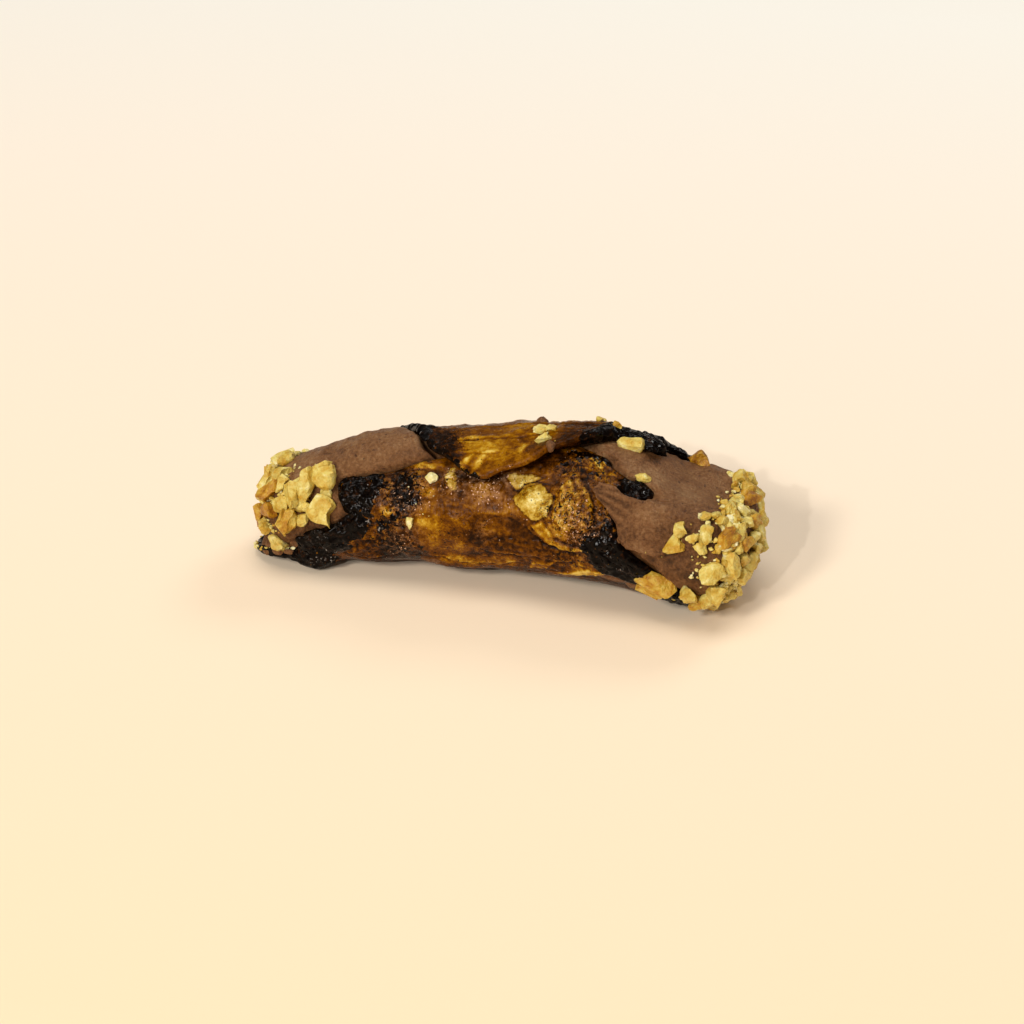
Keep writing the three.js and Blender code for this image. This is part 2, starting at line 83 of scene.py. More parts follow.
LEFT_EDGE = [
    (-231, -5), (-228, -7.6), (-224, -9.8), (-219, -12), (-215, -13.2), (-211, -14.8), (-207, -17),
    (-202, -19.3), (-194, -21), (-182, -23), (-170, -25.5), (-150, -31), (-90, -46), (-40, -61),
    (0, -65.8), (20, -65.2), (35, -61.8), (46, -57.5), (52, -54.5), (60, -52), (70, -51),
    (78, -49.5), (84, -46), (90, -42.5), (95, -38.5), (100, -36.8), (106, -37.5), (113, -38.8),
    (120, -40), (127, -41.5), (133, -40.5), (138, -35.5), (142, -29), (147, -24), (152, -19.5),
    (162, -14), (185, -9),
]
RIGHT_EDGE = [
    (-231, -3), (-228, -1.4), (-224.5, 0.6), (-220.5, 5), (-216, 7.6), (-211, 9.8), (-205, 12.2),
    (-199, 15.8), (-191, 19.8), (-183, 22.6), (-176, 25.3), (-171.5, 29), (-169, 35), (-166, 38),
    (-158, 37), (-148, 36.5), (-135, 39.5), (-115, 45), (-90, 49.5), (-50, 52.5), (0, 52.5),
    (25, 50.5), (45, 47.5), (60, 44.5), (70, 41.5), (80, 37), (88, 33.2), (95, 31.2), (103, 30.2),
    (115, 30.5), (126, 33.5), (132, 36.3), (138, 37.5), (144, 35.5), (149, 30.5), (156, 26.8),
    (165, 24.5), (175, 18), (185, 12),
]
# x, angle, half length, half width and height of each blister or fold in the dough.
BLISTERS = [
    (9.3, 113, 4.2, 4.5, 1.0), (-4, 122, 7, 3.5, 0.6), (19, 110, 6, 7, 0.6), (-14, 88, 11, 7, 0.8),
    (10, 78, 12, 4, 0.7), (-30, 112, 5, 4, 0.8), (-23, 140, 6, 4, 0.6), (-12, 32, 8, 7, 2.2),
    (-48, 34, 5, 6, 2.6), (27, 36, 9, 7, -2), (5, -155, 10, 10, 0.8), (18, -165, 7, 12, 1.7),
    (-8, -205, 10, 6, 0.6), (0, -110, 9, 7, 0.9), (-26, -100, 8, 6, 0.8), (28, -105, 8, 7, 0.9),
    (-40, -60, 7, 6, 0.7), (38, -70, 7, 6, 0.7), (4, -70, 10, 5, 0.7),
]
SWELLS = [
    (-28, 185, 13, 15, 2.6), (-43, 175, 11, 15, 0.8), (-37, 95, 7, 7, 0.4), (50, 60, 10, 14, 1.4),
    (42, 105, 11, 12, 1), (58, 58, 7, 12, 1.6),
]
TONGUE_FROM = [
    (92, 32), (98, 30), (108, 29), (113, 27), (118, 24.8), (124, 22.6), (131, 21.3), (136, 22.5),
]
TONGUE_TOP = [
    (22, 132.5), (23.5, 135.5), (26, 136.7), (28.5, 134.8), (31, 131), (33, 128.6), (35, 128),
    (37.5, 129),
]
TONGUE_SHY = 0.8  # how much further right its tip begins as seen
TONGUE_ANGLES, TONGUE_SOFT, TONGUE_SOFT_ANGLE, TONGUE_HEIGHT = (92, 131), 2.5, 8, 0.95


def mix(a, b, share):
    """The value this share of the way from a to b."""
    return a + (b - a) * share


def smooth(start, end, v):
    """0 up to start and 1 from end on, rising smoothly between them."""
    s = np.clip((np.asarray(v, float) - start) / (end - start), 0, 1)
    return s * s * (3 - 2 * s)


def turn(start, end):
    """Degrees from one angle to another the short way round, from -180 to 180."""
    return (np.asarray(end, float) - start + 180) % 360 - 180


def arc(angle):
    """Millimetres round the roll in this many degrees."""
    return np.radians(angle) * MID_RADIUS


def bump(along, round_):
    """1 in the middle of a soft bump, falling to nearly 0 a little beyond a distance of 1."""
    return np.exp(-((along**2 + round_**2) ** 1.5))


def through(knots, t):
    """The value at t of a smooth curve through the knots (t, value)."""
    at, value = np.array(knots, float).T
    t = np.asarray(t, float)
    before, after = np.maximum(np.arange(len(at)) - 1, 0), np.minimum(np.arange(len(at)) + 1, len(at) - 1)
    slope = (value[after] - value[before]) / (at[after] - at[before])
    i = np.clip(np.searchsorted(at, t, side="left") - 1, 0, len(at) - 2)
    width = at[i + 1] - at[i]
    s = np.clip((t - at[i]) / width, 0, 1)
    bend = width * s * (1 - s) * ((1 - s) * slope[i] - s * slope[i + 1])
    return mix(value[i], value[i + 1], s * s * (3 - 2 * s)) + bend


def top_share(start, end, angle):
    """1 at the top of the roll and 0 below. start and end are angles up from underneath."""
    return smooth(start, end, np.abs(turn(0, angle)))


def tube_radius(x, angle):
    """Radius of the roll, which flares towards the right and sinks at the top of its right end."""
    flared = MID_RADIUS + FLARE_HEIGHT * np.tanh((x - FLARE_AT) / FLARE_RUN)
    return flared - TOP_DROP * smooth(TOP_DROP_FROM, TOP_DROP_TO, x) * top_share(110, 180, angle)


def on_roll(x, angle, radius):
    """Points in the part's frame, in millimetres, at this radius from the roll's bent axis."""
    x, angle, radius = np.broadcast_arrays(*(np.asarray(v, float) for v in (x, angle, radius)))
    u = (x - REST_MID) / REST_HALF
    axis_y = BOW * (1 - u * u)
    arch = np.sqrt((1 - u * u) ** 2 + 0.01) - 0.1
    axis_z = tube_radius(x, 0) + ARCH * arch - FOOT
    y = axis_y - radius * np.sin(np.radians(angle))
    z = axis_z - radius * np.cos(np.radians(angle))
    return np.stack([x - CENTRE_X, y - CENTRE_Y, np.maximum(z, 0)], axis=-1)


def clear_of_table(angle):
    """0 where the roll rests, which stays flat, and 1 well away from there."""
    return smooth(TABLE_FROM, TABLE_TO, np.abs(turn(0, angle)))


def waves(x, angle):
    """Long low waves in the dough."""
    a = np.radians(angle)
    total = sum(height * np.sin(along * x + round_ * a + start) for height, along, round_, start in WAVES)
    return total * clear_of_table(angle)


def raised(places, x, angle, apart):
    """The height of soft bumps at each place. apart gives the degrees from one angle to another."""
    total = 0
    for at_x, at_angle, half_length, half_width, height in places:
        round_ = arc(apart(at_angle, angle)) / half_width
        total = total + height * bump((x - at_x) / half_length, round_)
    return total


def unrolled(start, end):
    """Degrees from one angle to another along the sheet, which laps over itself."""
    return end - start


def lap_offset(x, angle):
    """How far the sheet lies off the plain roll: in under the flap, and out at the flap's corners."""
    tucked = -(DOUGH + LAP_GAP) * smooth(TUCK_FROM, TUCK_TO, angle)
    corner_share = smooth(188, -LAP_ANGLE, -angle)
    from_right_edge = through(RIGHT_EDGE, angle) - x
    right_share = smooth(-13, 0, -from_right_edge) * smooth(172, 195, -angle) * smooth(-38, -26, -x)
    return tucked + LAP_LIFT * corner_share + LAP_RIGHT_LIFT * right_share


def dough_middle(x, angle):
    """Radius of the sheet's outer face without its blisters."""
    return tube_radius(x, angle) + lap_offset(x, angle) + waves(x, angle)


def dough_outside(x, angle):
    """Radius of the sheet's outer face."""
    return dough_middle(x, angle) + raised(BLISTERS, x, angle, unrolled) * clear_of_table(angle)


def end_share(x, angle):
    """1 along the cream, closing to 0 in a rounded cap at each of its ends."""
    top = top_share(95, 165, angle)
    left_run = mix(LEFT_END["side"], LEFT_END["top"], top)
    right_run = mix(RIGHT_END["side"], RIGHT_END["top"], top)
    left_power = mix(LEFT_END["side_power"], LEFT_END["top_power"], top)
    right_power = mix(RIGHT_END["side_power"], RIGHT_END["top_power"], top)
    left = np.clip((CREAM_LEFT + left_run - x) / left_run, 0, 1)
    right = np.clip((x - CREAM_RIGHT + right_run) / right_run, 0, 1)
    return (1 - left**left_power) ** (1 / left_power) * (1 - right**right_power) ** (1 / right_power)


def edges_at(angle):
    """The furthest left and right that dough reaches at this angle, in whichever of its layers."""
    turned = turn(0, angle)
    left, right = np.full(turned.shape, 999.0), np.full(turned.shape, -999.0)
    for layer in (turned, turned - 360, turned + 360):
        there = (layer >= LAP_ANGLE) & (layer <= TUCK_ANGLE)
        left = np.where(there, np.minimum(left, through(LEFT_EDGE, layer)), left)
        right = np.where(there, np.maximum(right, through(RIGHT_EDGE, layer)), right)
    return left, right


def bare_distance(x, angle):
    """How far beyond the edge of the dough each place lies, in millimetres: below 0 under the dough."""
    left, right = edges_at(angle)
    return np.maximum(left - x, x - right)


def tongue_share(x, angle, seen=False):
    """1 on the tongue of cream over the dough. As seen it is blunter and more sharply set off than in
    the solid."""
    turned = turn(0, angle)
    low, high = TONGUE_ANGLES
    start = through(TONGUE_FROM, np.clip(turned, TONGUE_FROM[0][0], TONGUE_FROM[-1][0]))
    soft, soft_angle = TONGUE_SOFT, TONGUE_SOFT_ANGLE
    if seen:
        high = through(TONGUE_TOP, np.clip(x, TONGUE_TOP[0][0], TONGUE_TOP[-1][0]))
        start = start + TONGUE_SHY * smooth(110, 118, turned)
        soft, soft_angle = 1.2, 2.5
    return (
        smooth(0, soft, x - start)
        * smooth(low - soft_angle, low, turned)
        * (1 - smooth(high, high + soft_angle, turned))
        * (1 - smooth(38, 46, x))
    )


def cream_radius(x, angle, gap=0.65, seen=False):
    """Radius of the cream, which lies inside the dough with this gap and swells where it is bare."""
    turned = turn(0, angle)
    tube = tube_radius(x, angle)
    tucked = (DOUGH + LAP_GAP) * smooth(TUCK_FROM, TUCK_TO, turned) * (1 - smooth(185, 200, np.abs(turned)))
    inside = tube - tucked + waves(x, angle) - DOUGH - gap
    outside = tube - RECESS + raised(SWELLS, x, angle, turn)
    plain = mix(inside, outside, smooth(-1, 3, bare_distance(x, angle)))
    over_dough = tube + waves(x, angle) + TONGUE_HEIGHT
    return mix(plain, np.maximum(plain, over_dough), tongue_share(x, angle, seen)) * end_share(x, angle)


CREAM_MIDDLE, CREAM_HALF = (CREAM_LEFT + CREAM_RIGHT) / 2, (CREAM_RIGHT - CREAM_LEFT) / 2


def cream_x(share):
    """x at a share of the cream's length from -1 to 1, whose steps shorten towards its ends."""
    return CREAM_MIDDLE + CREAM_HALF * np.sin(np.asarray(share, float) * np.pi / 2)


def cream_share(x):
    """The share of the cream's length at x."""
    return np.arcsin((np.asarray(x, float) - CREAM_MIDDLE) / CREAM_HALF) / (np.pi / 2)


def cream_point(share, angle):
    return on_roll(cream_x(share), angle, cream_radius(cream_x(share), angle))


# ---- Repeatable unevenness -----------------------------------------------------------------------
def random_from(seed):
    """A seeded source of numbers from 0 to 1, the same one that places the part's nuts."""
    full = 0xFFFFFFFF
    state = seed & full

    def draw():
        nonlocal state
        state = (state + 0x6D2B79F5) & full
        mixed = ((state ^ (state >> 15)) * (state | 1)) & full
        mixed ^= (mixed + (((mixed ^ (mixed >> 7)) * (mixed | 61)) & full)) & full
        return ((mixed ^ (mixed >> 14)) & full) / 4294967296

    return draw


def scatter(cell, seed):
    """A repeatable number from 0 to 1 for each whole-number place in space."""
    x, y, z = cell[..., 0], cell[..., 1], cell[..., 2]
    h = (x * 73856093) ^ (y * 19349663) ^ (z * 83492791) ^ (seed * 26544357)
    for _ in range(2):
        h = ((h ^ (h >> 15)) * 1274126177) & 0x7FFFFFFF
    return ((h ^ (h >> 16)) & 0xFFFFFF) / 0xFFFFFF


def unevenness(points, size, seed):
    """Smooth rise and fall from -1 to 1, its humps about this many millimetres apart."""
    place = points / size
    cell = np.floor(place).astype(np.int64)
    s = place - cell
    s = s**3 * (s * (s * 6 - 15) + 10)
    total = 0
    for corner in np.ndindex(2, 2, 2):
        share = np.prod(np.where(np.array(corner) == 1, s, 1 - s), axis=-1)
        total = total + share * scatter(cell + np.array(corner), seed)
    return total * 2 - 1


def roughness_of(points, size, seed, layers=3):
    """Unevenness with finer and fainter unevenness on it."""
    return sum(unevenness(points, size / 2**k, seed + k) / 2**k for k in range(layers)) / 1.6


def to_scattered(points, size, seed):
    """For each of the 27 cells round a place, the squared distance to its scattered point, in cells."""
    place = points / size
    cell = np.floor(place).astype(np.int64)
    for step in np.ndindex(3, 3, 3):
        other = cell + np.array(step) - 1
        jitter = np.stack([scatter(other, seed + k) for k in range(3)], axis=-1)
        yield np.sum((other + jitter - place) ** 2, axis=-1)


def bubbles(points, size, seed):
    """1 in the middle of each of many scattered bubbles this far apart, falling to 0 between them."""
    nearest = np.full(points.shape[:-1], 9.0)
    for squared in to_scattered(points, size, seed):
        nearest = np.minimum(nearest, squared)
    return np.clip(1 - nearest / 0.45, 0, 1)


def creases(points, size, seed):
    """1 along the borders between irregular plates this far across, and 0 inside them."""
    nearest, second = np.full(points.shape[:-1], 9.0), np.full(points.shape[:-1], 9.0)
    for squared in to_scattered(points, size, seed):
        far = np.sqrt(squared)
        second = np.minimum(second, np.maximum(nearest, far))
        nearest = np.minimum(nearest, far)
    return np.exp(-(((second - nearest) * size / 0.35) ** 2))


# ---- Marks laid out on the roll ------------------------------------------------------------------
def patches(places, x, angle, power=1.5):
    """The sum of soft patches. Each is x, angle, half length, half width, the way it points and its
    strength."""
    total = np.zeros(np.shape(x))
    for at_x, at_angle, half_length, half_width, points, strength in places:
        along, round_ = x - at_x, arc(angle - at_angle)
        c, s = math.cos(math.radians(points)), math.sin(math.radians(points))
        u, v = (along * c + round_ * s) / half_length, (round_ * c - along * s) / half_width
        total += strength * np.exp(-((u * u + v * v) ** power))
    return total


def spots_of(corners):
    """Corners (x, angle) as millimetres along and round the roll."""
    return [(x, arc(angle)) for x, angle in corners]


def off_line(start, end, x, round_):
    """How far each place lies from the straight line between two spots, along and round the roll."""
    dx, dy = end[0] - start[0], end[1] - start[1]
    share = ((x - start[0]) * dx + (round_ - start[1]) * dy) / (dx * dx + dy * dy)
    share = np.clip(share, 0, 1)
    return x - start[0] - share * dx, round_ - start[1] - share * dy


def flake_edges(lines, x, round_):
    """Layers of crust that end in a low step. Each is its height, how far back it fades, and points
    (x, angle) along its edge; the crust stands higher on the left of the way they run."""
    total = np.zeros(np.shape(x))
    for height, fade, corners in lines:
        nearest = np.full(np.shape(x), 1e9)
        side = np.zeros(np.shape(x))
        spots = spots_of(corners)
        for start, end in zip(spots, spots[1:]):
            off_x, off_y = off_line(start, end, x, round_)
            away = np.hypot(off_x, off_y)
            cross = (end[0] - start[0]) * off_y - (end[1] - start[1]) * off_x
            closer = away < nearest
            side = np.where(closer, np.sign(cross) * away, side)
            nearest = np.where(closer, away, nearest)
        first, last = (np.hypot(x - spot[0], round_ - spot[1]) for spot in (spots[0], spots[-1]))
        above = np.exp(-np.maximum(side, 0) / fade) * smooth(-0.25, 0.2, side)
        below = -0.3 * np.exp(-((side + 0.35) ** 2) / 0.12)
        total += height * (above + below) * smooth(0, 2.5, np.minimum(first, last)) * (nearest < fade * 6)
    return total


# Tones before any patches, from 0, which is a finish's darkest colour, to 1, its palest.
CRUST_TONE, CREAM_TONE, SMEAR_TONE = 0.465, 0.5, 0.55
# Patches of the crust's colour: + towards pale gold, - towards deep brown. Angles are the sheet's own.
# Those that darken the sheet just under the flap's edge, at (-5, 134), (7, 148) and (12, 158), are a
# painted shadow of the flap.
CRUST_TONES = [
    (9.0, 117, 2.8, 2.3, 70, 0.33), (5.2, 133, 4.0, 2.2, 22, 0.28), (-18.6, 119, 2.4, 1.6, -10, 0.3),
    (-18.6, 155, 1.6, 5, 8, 0.34), (-21.5, 146, 3.6, 1.6, -12, 0.28),
    (-28.2, 126, 1.1, 3.6, -6, 0.36), (-28, 103, 1.9, 1.2, -20, 0.4), (-13, 131, 1.5, 4, 8, 0.2),
    (-8, -200, 5.5, 2.6, -10, 0.16), (-9.6, -217, 1.0, 2.6, -28, 0.36),
    (-6.2, -218, 0.9, 3.0, -24, 0.36), (4.2, -205, 1.1, 1.8, -20, 0.36), (-3, -212, 8, 2.4, 5, 0.1),
    (-5, -204, 7, 3.4, 0, 0.06), (23, 158, 1.6, 1.4, 0, 0.24), (-9, -189, 2, 1.2, 0, 0.12),
    (20, 61, 3.6, 2, 40, 0.12), (-9, 53, 12, 2.2, 2, 0.16), (3, 56, 1.6, 2.2, 0, 0.22),
    (-13, 74, 9, 7, 0, 0.05), (-14, 100, 7, 3.4, 0, 0.05), (18, 110, 5.5, 5, 0, 0.24),
    (22, 156, 4, 3, -15, 0.2), (15, 148, 6, 2.4, 0, -0.06), (21, 166, 5, 2.6, 0, 0.06),
    (-4.5, 119, 3.2, 3.0, 40, 0.16), (3, 110, 3.5, 2.6, 0, 0.12), (-2.5, 88, 2.2, 1.6, -50, 0.14),
    (-19, 94, 1.6, 1.2, 0, 0.18), (-5, 134, 9, 2.2, -4, -0.24), (5.5, 94, 5.5, 2.4, -16, -0.24),
    (-4.5, 98, 4, 1.8, 0, -0.08), (-5.5, 84, 2.0, 2.6, 40, -0.14), (-2.4, 67, 1.2, 1.4, 0, -0.3),
    (1, 78, 4.5, 3, -30, -0.16), (-9, 88, 7, 2, -35, -0.14), (-10, 63, 6, 1.6, 8, -0.12),
    (-11, 112, 5, 3.2, 0, -0.1), (-32, 63, 9, 5.5, 0, -0.14), (-26, 79, 5, 3.5, 0, -0.1),
    (-22, 62, 3.5, 4, 20, -0.12), (-25, 50, 10, 4.5, 0, -0.1), (-26, 131, 3.2, 3.4, 0, -0.3),
    (-23, 110, 3, 2.4, 0, -0.24), (12.5, 73, 7, 2.6, 10, -0.08), (14, 58, 4, 2, 0, -0.12),
    (12, 158, 5, 2.0, 0, -0.3), (7, 148, 6, 1.4, 0, -0.2), (0, -182, 15, 5, 0, 0.1),
    (-17.5, -190, 3.4, 9, 20, -0.3), (-13, -205, 2.2, 3.4, 30, -0.22), (17, -184, 6, 6, 0, -0.22),
    (11, -201, 7, 2, 33, -0.16), (-3, -203, 9, 4, 0, 0.1), (20, -120, 8, 7, 0, 0.2),
    (-10, -90, 9, 6, 0, 0.2), (-20, -130, 8, 6, 0, -0.2), (10, -60, 9, 5, 0, -0.2),
    (25, -40, 9, 7, 0, 0.2), (-30, -20, 9, 8, 0, 0.15), (0, -20, 12, 7, 0, -0.15),
    (-5, 15, 12, 6, 0, 0.05),
]
# Flakes with a crisp outline, as corners (x, angle). First the pale ones, each with how high it stands.
PALE_FLAKES = [
    (0.24, [
        (4, 118), (5.6, 126.4), (8.5, 131.2), (10.8, 127.2), (12.8, 120.7), (12.5, 112),
        (11.8, 104.5), (10, 102), (8.6, 102.9), (7.2, 107), (5.2, 112),
    ]),
    (0.25, [(1, 137.7), (4, 124.3), (6, 128), (8.2, 131.6), (9.6, 135.3), (7, 139.3), (4, 139.8)]),
    (0.2, [(-14.4, 142), (-12.7, 141), (-11.6, 131), (-11.3, 120), (-13.2, 122), (-14.4, 131)]),
    (0.3, [(14, -126), (19, -130), (23, -124), (20, -115), (15, -116)]),
]
# Then amber ones that only stand up from the rest, each with its height and colour.
AMBER_FLAKES = [
    (0.3, 0.02, [
        (13.4, 121), (13.6, 103), (15.5, 92), (19, 88), (22, 92), (24.3, 103), (24.8, 112),
        (23, 127), (20.5, 135), (17, 135.5), (15, 130.5), (14, 125),
    ]),
    (0.5, 0.16, [
        (8.2, 99), (10.8, 90), (15, 84.5), (20, 81.5), (25, 80.8), (25.5, 84), (20, 86),
        (15.5, 89.5), (12.5, 94.5), (10.4, 100),
    ]),
    (0.45, 0.12, [(15.6, 69), (13, 60), (11, 51), (8, 48), (9, 57), (12, 65)]),
    (0.5, 0.26, [
        (26.5, 72), (23.5, 66.5), (20.5, 61), (17, 57), (14, 49), (19, 49), (23, 55), (27, 65),
    ]),
    (0.16, 0.05, [
        (-21, 96), (-12, 101), (-7, 97), (-4, 84), (-6, 66), (-12, 53), (-18, 56), (-19.5, 70),
    ]),
    (0.16, 0.04, [(-10, 128), (-3, 127), (2, 119), (3.4, 104), (-2, 101), (-9, 105), (-12, 114)]),
    (0.2, 0.05, [(-3, 82), (4, 83), (12, 82), (14, 73), (8, 66), (0, 64), (-4, 71)]),
    (0.35, 0.1, [(15.2, 137), (16.6, 138), (18.4, 122), (17.2, 121)]),
    (0.5, -0.04, [(-33, 74), (-27, 75), (-23, 67), (-26, 55), (-34, 50), (-40, 56), (-38, 67)]),
    (0.5, 0.1, [(-12, -118), (-2, -122), (6, -112), (0, -101), (-10, -104)]),
    (0.5, -0.06, [(12, -92), (26, -96), (30, -80), (18, -72), (10, -80)]),
    (0.5, 0.06, [(-34, -70), (-22, -74), (-14, -64), (-20, -50), (-32, -52)]),
    (0.5, 0.08, [(0, -52), (12, -56), (20, -44), (12, -32), (0, -36)]),
]
# Fine cracks, as points (x, angle), painted dark: partly the cracks, partly painted shade under the
# flake edges that many of them follow.
CRACKS_AND_LEDGE_SHADE = [
    [(3.4, 123), (5.4, 127.2), (8.6, 131.6), (10.4, 137)],
    [(19.6, 137), (22, 131), (23.6, 122), (24.6, 114)],
    [(8.6, 95), (11, 86.6), (15, 81.2), (20.5, 79)],
    [(16.9, 137), (17.6, 130), (18.4, 124)],
    [(13.2, 121), (13, 112)],
    [(-22, 140), (-17.5, 139)],
    [(-15.2, 130), (-15, 120)],
    [(13, 69.5), (16.5, 68.5)],
    [(-40, 57), (-34, 49), (-26, 54)],
    [(-14, -212), (-9, -207)],
    [(-15, -189), (-8, -191)],
]
# Where burnt specks are thick, where pale glints are painted on the chocolate, and where the glaze is
# wettest, which is glossier there and has a painted sheen and painted glints.
SPECKLED_ALL_OVER = 0.15
SPECKLED = [
    (6.4, 124, 2.4, 3.4, 30, 0.75), (11.5, 109, 2, 3.4, 10, 0.6), (18, 112, 6, 8, 0, 0.9),
    (22, 150, 8, 5, 0, 0.9), (15, 149, 4, 3, 0, 0.6), (-25, 122, 6, 8, 0, 1.25),
    (-13, 130, 3, 4, 0, 0.4), (18, 74, 7, 4, 0, 0.8), (26, 100, 4, 8, 0, 1.0),
    (-16, -194, 5, 8, 0, 0.9), (-8, 76, 12, 10, 0, 0.4), (-27, 80, 5, 6, 0, 0.7),
    (5, -205, 8, 5, 0, 0.15), (-30, 66, 8, 6, 0, 0.6), (10, -110, 30, 12, 0, 0.5),
    (-10, -60, 30, 12, 0, 0.5),
]
# Painted glints: pale grey marks painted on the chocolate where it would glint, as patches.
PAINTED_GLINT_PATCHES = [
    (-42.5, 64, 3.4, 1.0, 6, 1.0), (-47, 51, 1.6, 1.2, 0, 0.8), (-43.6, 50, 1.0, 1.6, 0, 0.8),
    (-30.8, 87, 1.4, 1.2, -30, 0.9), (-36.2, 112, 1.2, 1.2, 30, 0.9), (-34, 126, 1.2, 1.0, 30, 0.7),
    (-30.6, 119, 0.8, 1.2, -30, 0.8), (-33.4, 96, 0.7, 5, 10, 0.8), (-31.4, 108, 0.6, 3, 8, 0.6),
    (-24.6, 63, 1.0, 1.6, 20, 0.6), (31.5, 75, 1.6, 0.7, 0, 0.5), (28, 90, 1.0, 2.6, 20, 0.35),
    (33, 143, 1.6, 0.8, 0, 0.5), (-45, 80, 1.6, 0.8, 30, 0.6), (-52, -30, 5, 2, 20, 0.5),
    (46, -70, 3, 5, 0, 0.4),
]
# Where the glaze is wettest: glossier there, with a painted pinkish sheen and painted glints.
WET_AND_PAINTED_SHEEN = [
    (-4.2, 120, 3.0, 3.4, 40, 1.0), (1, 110, 4, 2.2, -35, 0.5), (19, 106, 5, 6, 0, 0.62),
    (-24, 118, 7, 6, 0, 0.5), (-24, 78, 5, 6, 0, 0.45), (25, 92, 3, 6, -20, 0.5),
    (-1, 134, 9, 2.5, 0, 0.5), (-11, 122, 5, 3, 0, 0.45), (-13.5, 134, 1.6, 3.4, 0, 0.7),
    (-3, 88, 2, 3, 0, 0.4), (-26, 64, 3, 3, 0, 0.3), (18, 132, 4, 3, 0, 0.3), (2, 128, 3, 2, 0, 0.4),
]
# How far along the roll the dark chocolate reaches in from the sheet's left and right edges, by angle.
COAT_LEFT = [
    (-231, -5), (-215, -12), (-205, -17.4), (-195, -19.2), (-182, -19.8), (-170, -20), (-150, -22),
    (-120, -27), (-80, -37), (-40, -44), (0, -46), (30, -45), (46, -43.5), (55, -42.5), (62, -41),
    (70, -38.5), (78, -35.5), (88, -33), (100, -32.4), (110, -31.2), (120, -30.4), (130, -30.2),
    (138, -30), (142, -27), (147, -23.2), (152, -18.5), (185, -8),
]
COAT_RIGHT = [
    (-231, 14), (-205, 17), (-195, 19.5), (-185, 21.5), (-176, 21), (-170, 20.5), (-164, 21),
    (-150, 22), (-120, 31), (-80, 37), (-40, 41), (0, 41), (30, 40), (48, 37), (56, 35), (62, 31),
    (68, 26.5), (75, 23.8), (84, 23), (92, 23), (98, 25), (106, 25.2), (114, 25), (122, 27),
    (130, 30.3), (137, 30.2), (143, 30.6), (149, 30.4), (156, 26.5), (165, 24), (185, 12),
]
# Where it is thicker, or thinner, than those reaches make it, as patches.
# Those at (17, 157) and (20.5, 163), just under the flap's right edge, are partly chocolate and partly a
# painted shadow of the flap.
COAT_SPOTS = [
    (33.4, 140, 3.6, 3.1, -12, 1.2), (-13.5, -207, 2, 5, 25, 0.25), (-25, 122, 5.5, 9, 0, 0.18),
    (-24.4, 134, 3.4, 1.8, 10, 0.36), (-22.6, 127, 2.2, 2.4, 0, 0.35), (-25.6, 118, 2, 3, 0, 0.3),
    (-22.5, 110, 3.2, 1.8, 0, 0.35), (-27.6, 93, 3.2, 2.6, 0, 0.36), (-30.2, 88, 2.4, 2, 0, 0.5),
    (-24.6, 98, 2.2, 1.6, 0, 0.35), (-20, 68, 1.8, 1.2, 0, 0.4), (-22, 56, 4, 3, 0, 0.3),
    (27.4, 107, 3, 4, 0, -0.45), (25, 100, 2, 2, 0, -0.3), (21.6, 93, 3, 1.8, 20, 0.45),
    (14.6, 149, 1.4, 1, 0, 0.6), (24, 146, 4, 1.4, 0, 0.5), (17, 157, 4, 2, 0, 0.3),
    (-17, -196, 3.4, 8, 15, -0.12), (-14, -184, 3, 5, 0, 0.1), (19.5, -192, 4, 3, 30, 0.4),
    (20.5, 163, 5.5, 1.5, -10, 0.8), (-14.6, 128, 1.2, 3, 0, 0.35), (-33, 52, 7, 3, 0, 0.12),
]
# Layers of crust that end in a low step, each its height, how far back it fades, and its edge.
CRUST_FLAKES = [
    (0.26, 3.0, [(-19, 108), (-11, 108), (-4, 104), (3, 100), (8, 94)]),
    (0.7, 2.6, [(6, 99), (10, 89), (15, 84), (20, 80), (25, 77)]),
    (0.55, 1.6, [(3, 125), (6, 127), (9.5, 131), (13, 134)]),
    (0.6, 3.0, [(20, 97), (23.5, 104), (24.3, 113), (23, 124), (20, 134)]),
    (0.5, 2.4, [(-3, 70), (6, 64), (13, 58), (20, 52)]),
    (0.55, 2.2, [(8, 66), (14, 70), (20, 71), (26, 66)]),
    (0.45, 2.0, [(-30, 96), (-26, 92), (-22, 84), (-20, 74)]),
    (0.5, 1.8, [(16, 137), (15, 128), (15.5, 118)]),
    (0.45, 2.2, [(-12, 140), (-14.5, 130), (-14, 120)]),
    (0.5, 2.4, [(-20, 60), (-10, 52), (0, 50), (8, 54)]),
    (0.45, 2.0, [(13, 100), (16, 98), (20, 100)]),
    (0.5, 2.2, [(-36, 74), (-30, 78), (-26, 70), (-22, 62)]),
    (0.4, 2.2, [(-15, -188), (-6, -192), (4, -190), (14, -184)]),
    (0.4, 2.0, [(-12, -212), (-6, -208), (0, -211)]),
    (0.55, 2.6, [(24, -60), (10, -66), (-4, -62), (-20, -70)]),
    (0.55, 2.6, [(30, -110), (16, -118), (4, -112)]),
    (0.5, 2.4, [(-10, -120), (-22, -112), (-34, -104)]),
    (0.5, 2.6, [(-30, -30), (-14, -36), (0, -30), (14, -34)]),
]


def outline_depth(corners, x, round_):
    """How far inside an outline each place lies, in millimetres: below 0 outside it."""
    nearest = np.full(np.shape(x), 1e9)
    inside = np.zeros(np.shape(x), bool)
    spots = spots_of(corners)
    for start, end in zip(spots, spots[1:] + spots[:1]):
        nearest = np.minimum(nearest, np.hypot(*off_line(start, end, x, round_)))
        (ax, ay), (bx, by) = start, end
        if by != ay:
            inside ^= ((ay > round_) != (by > round_)) & (x < ax + (bx - ax) * (round_ - ay) / (by - ay))
    return np.where(inside, nearest, -nearest)


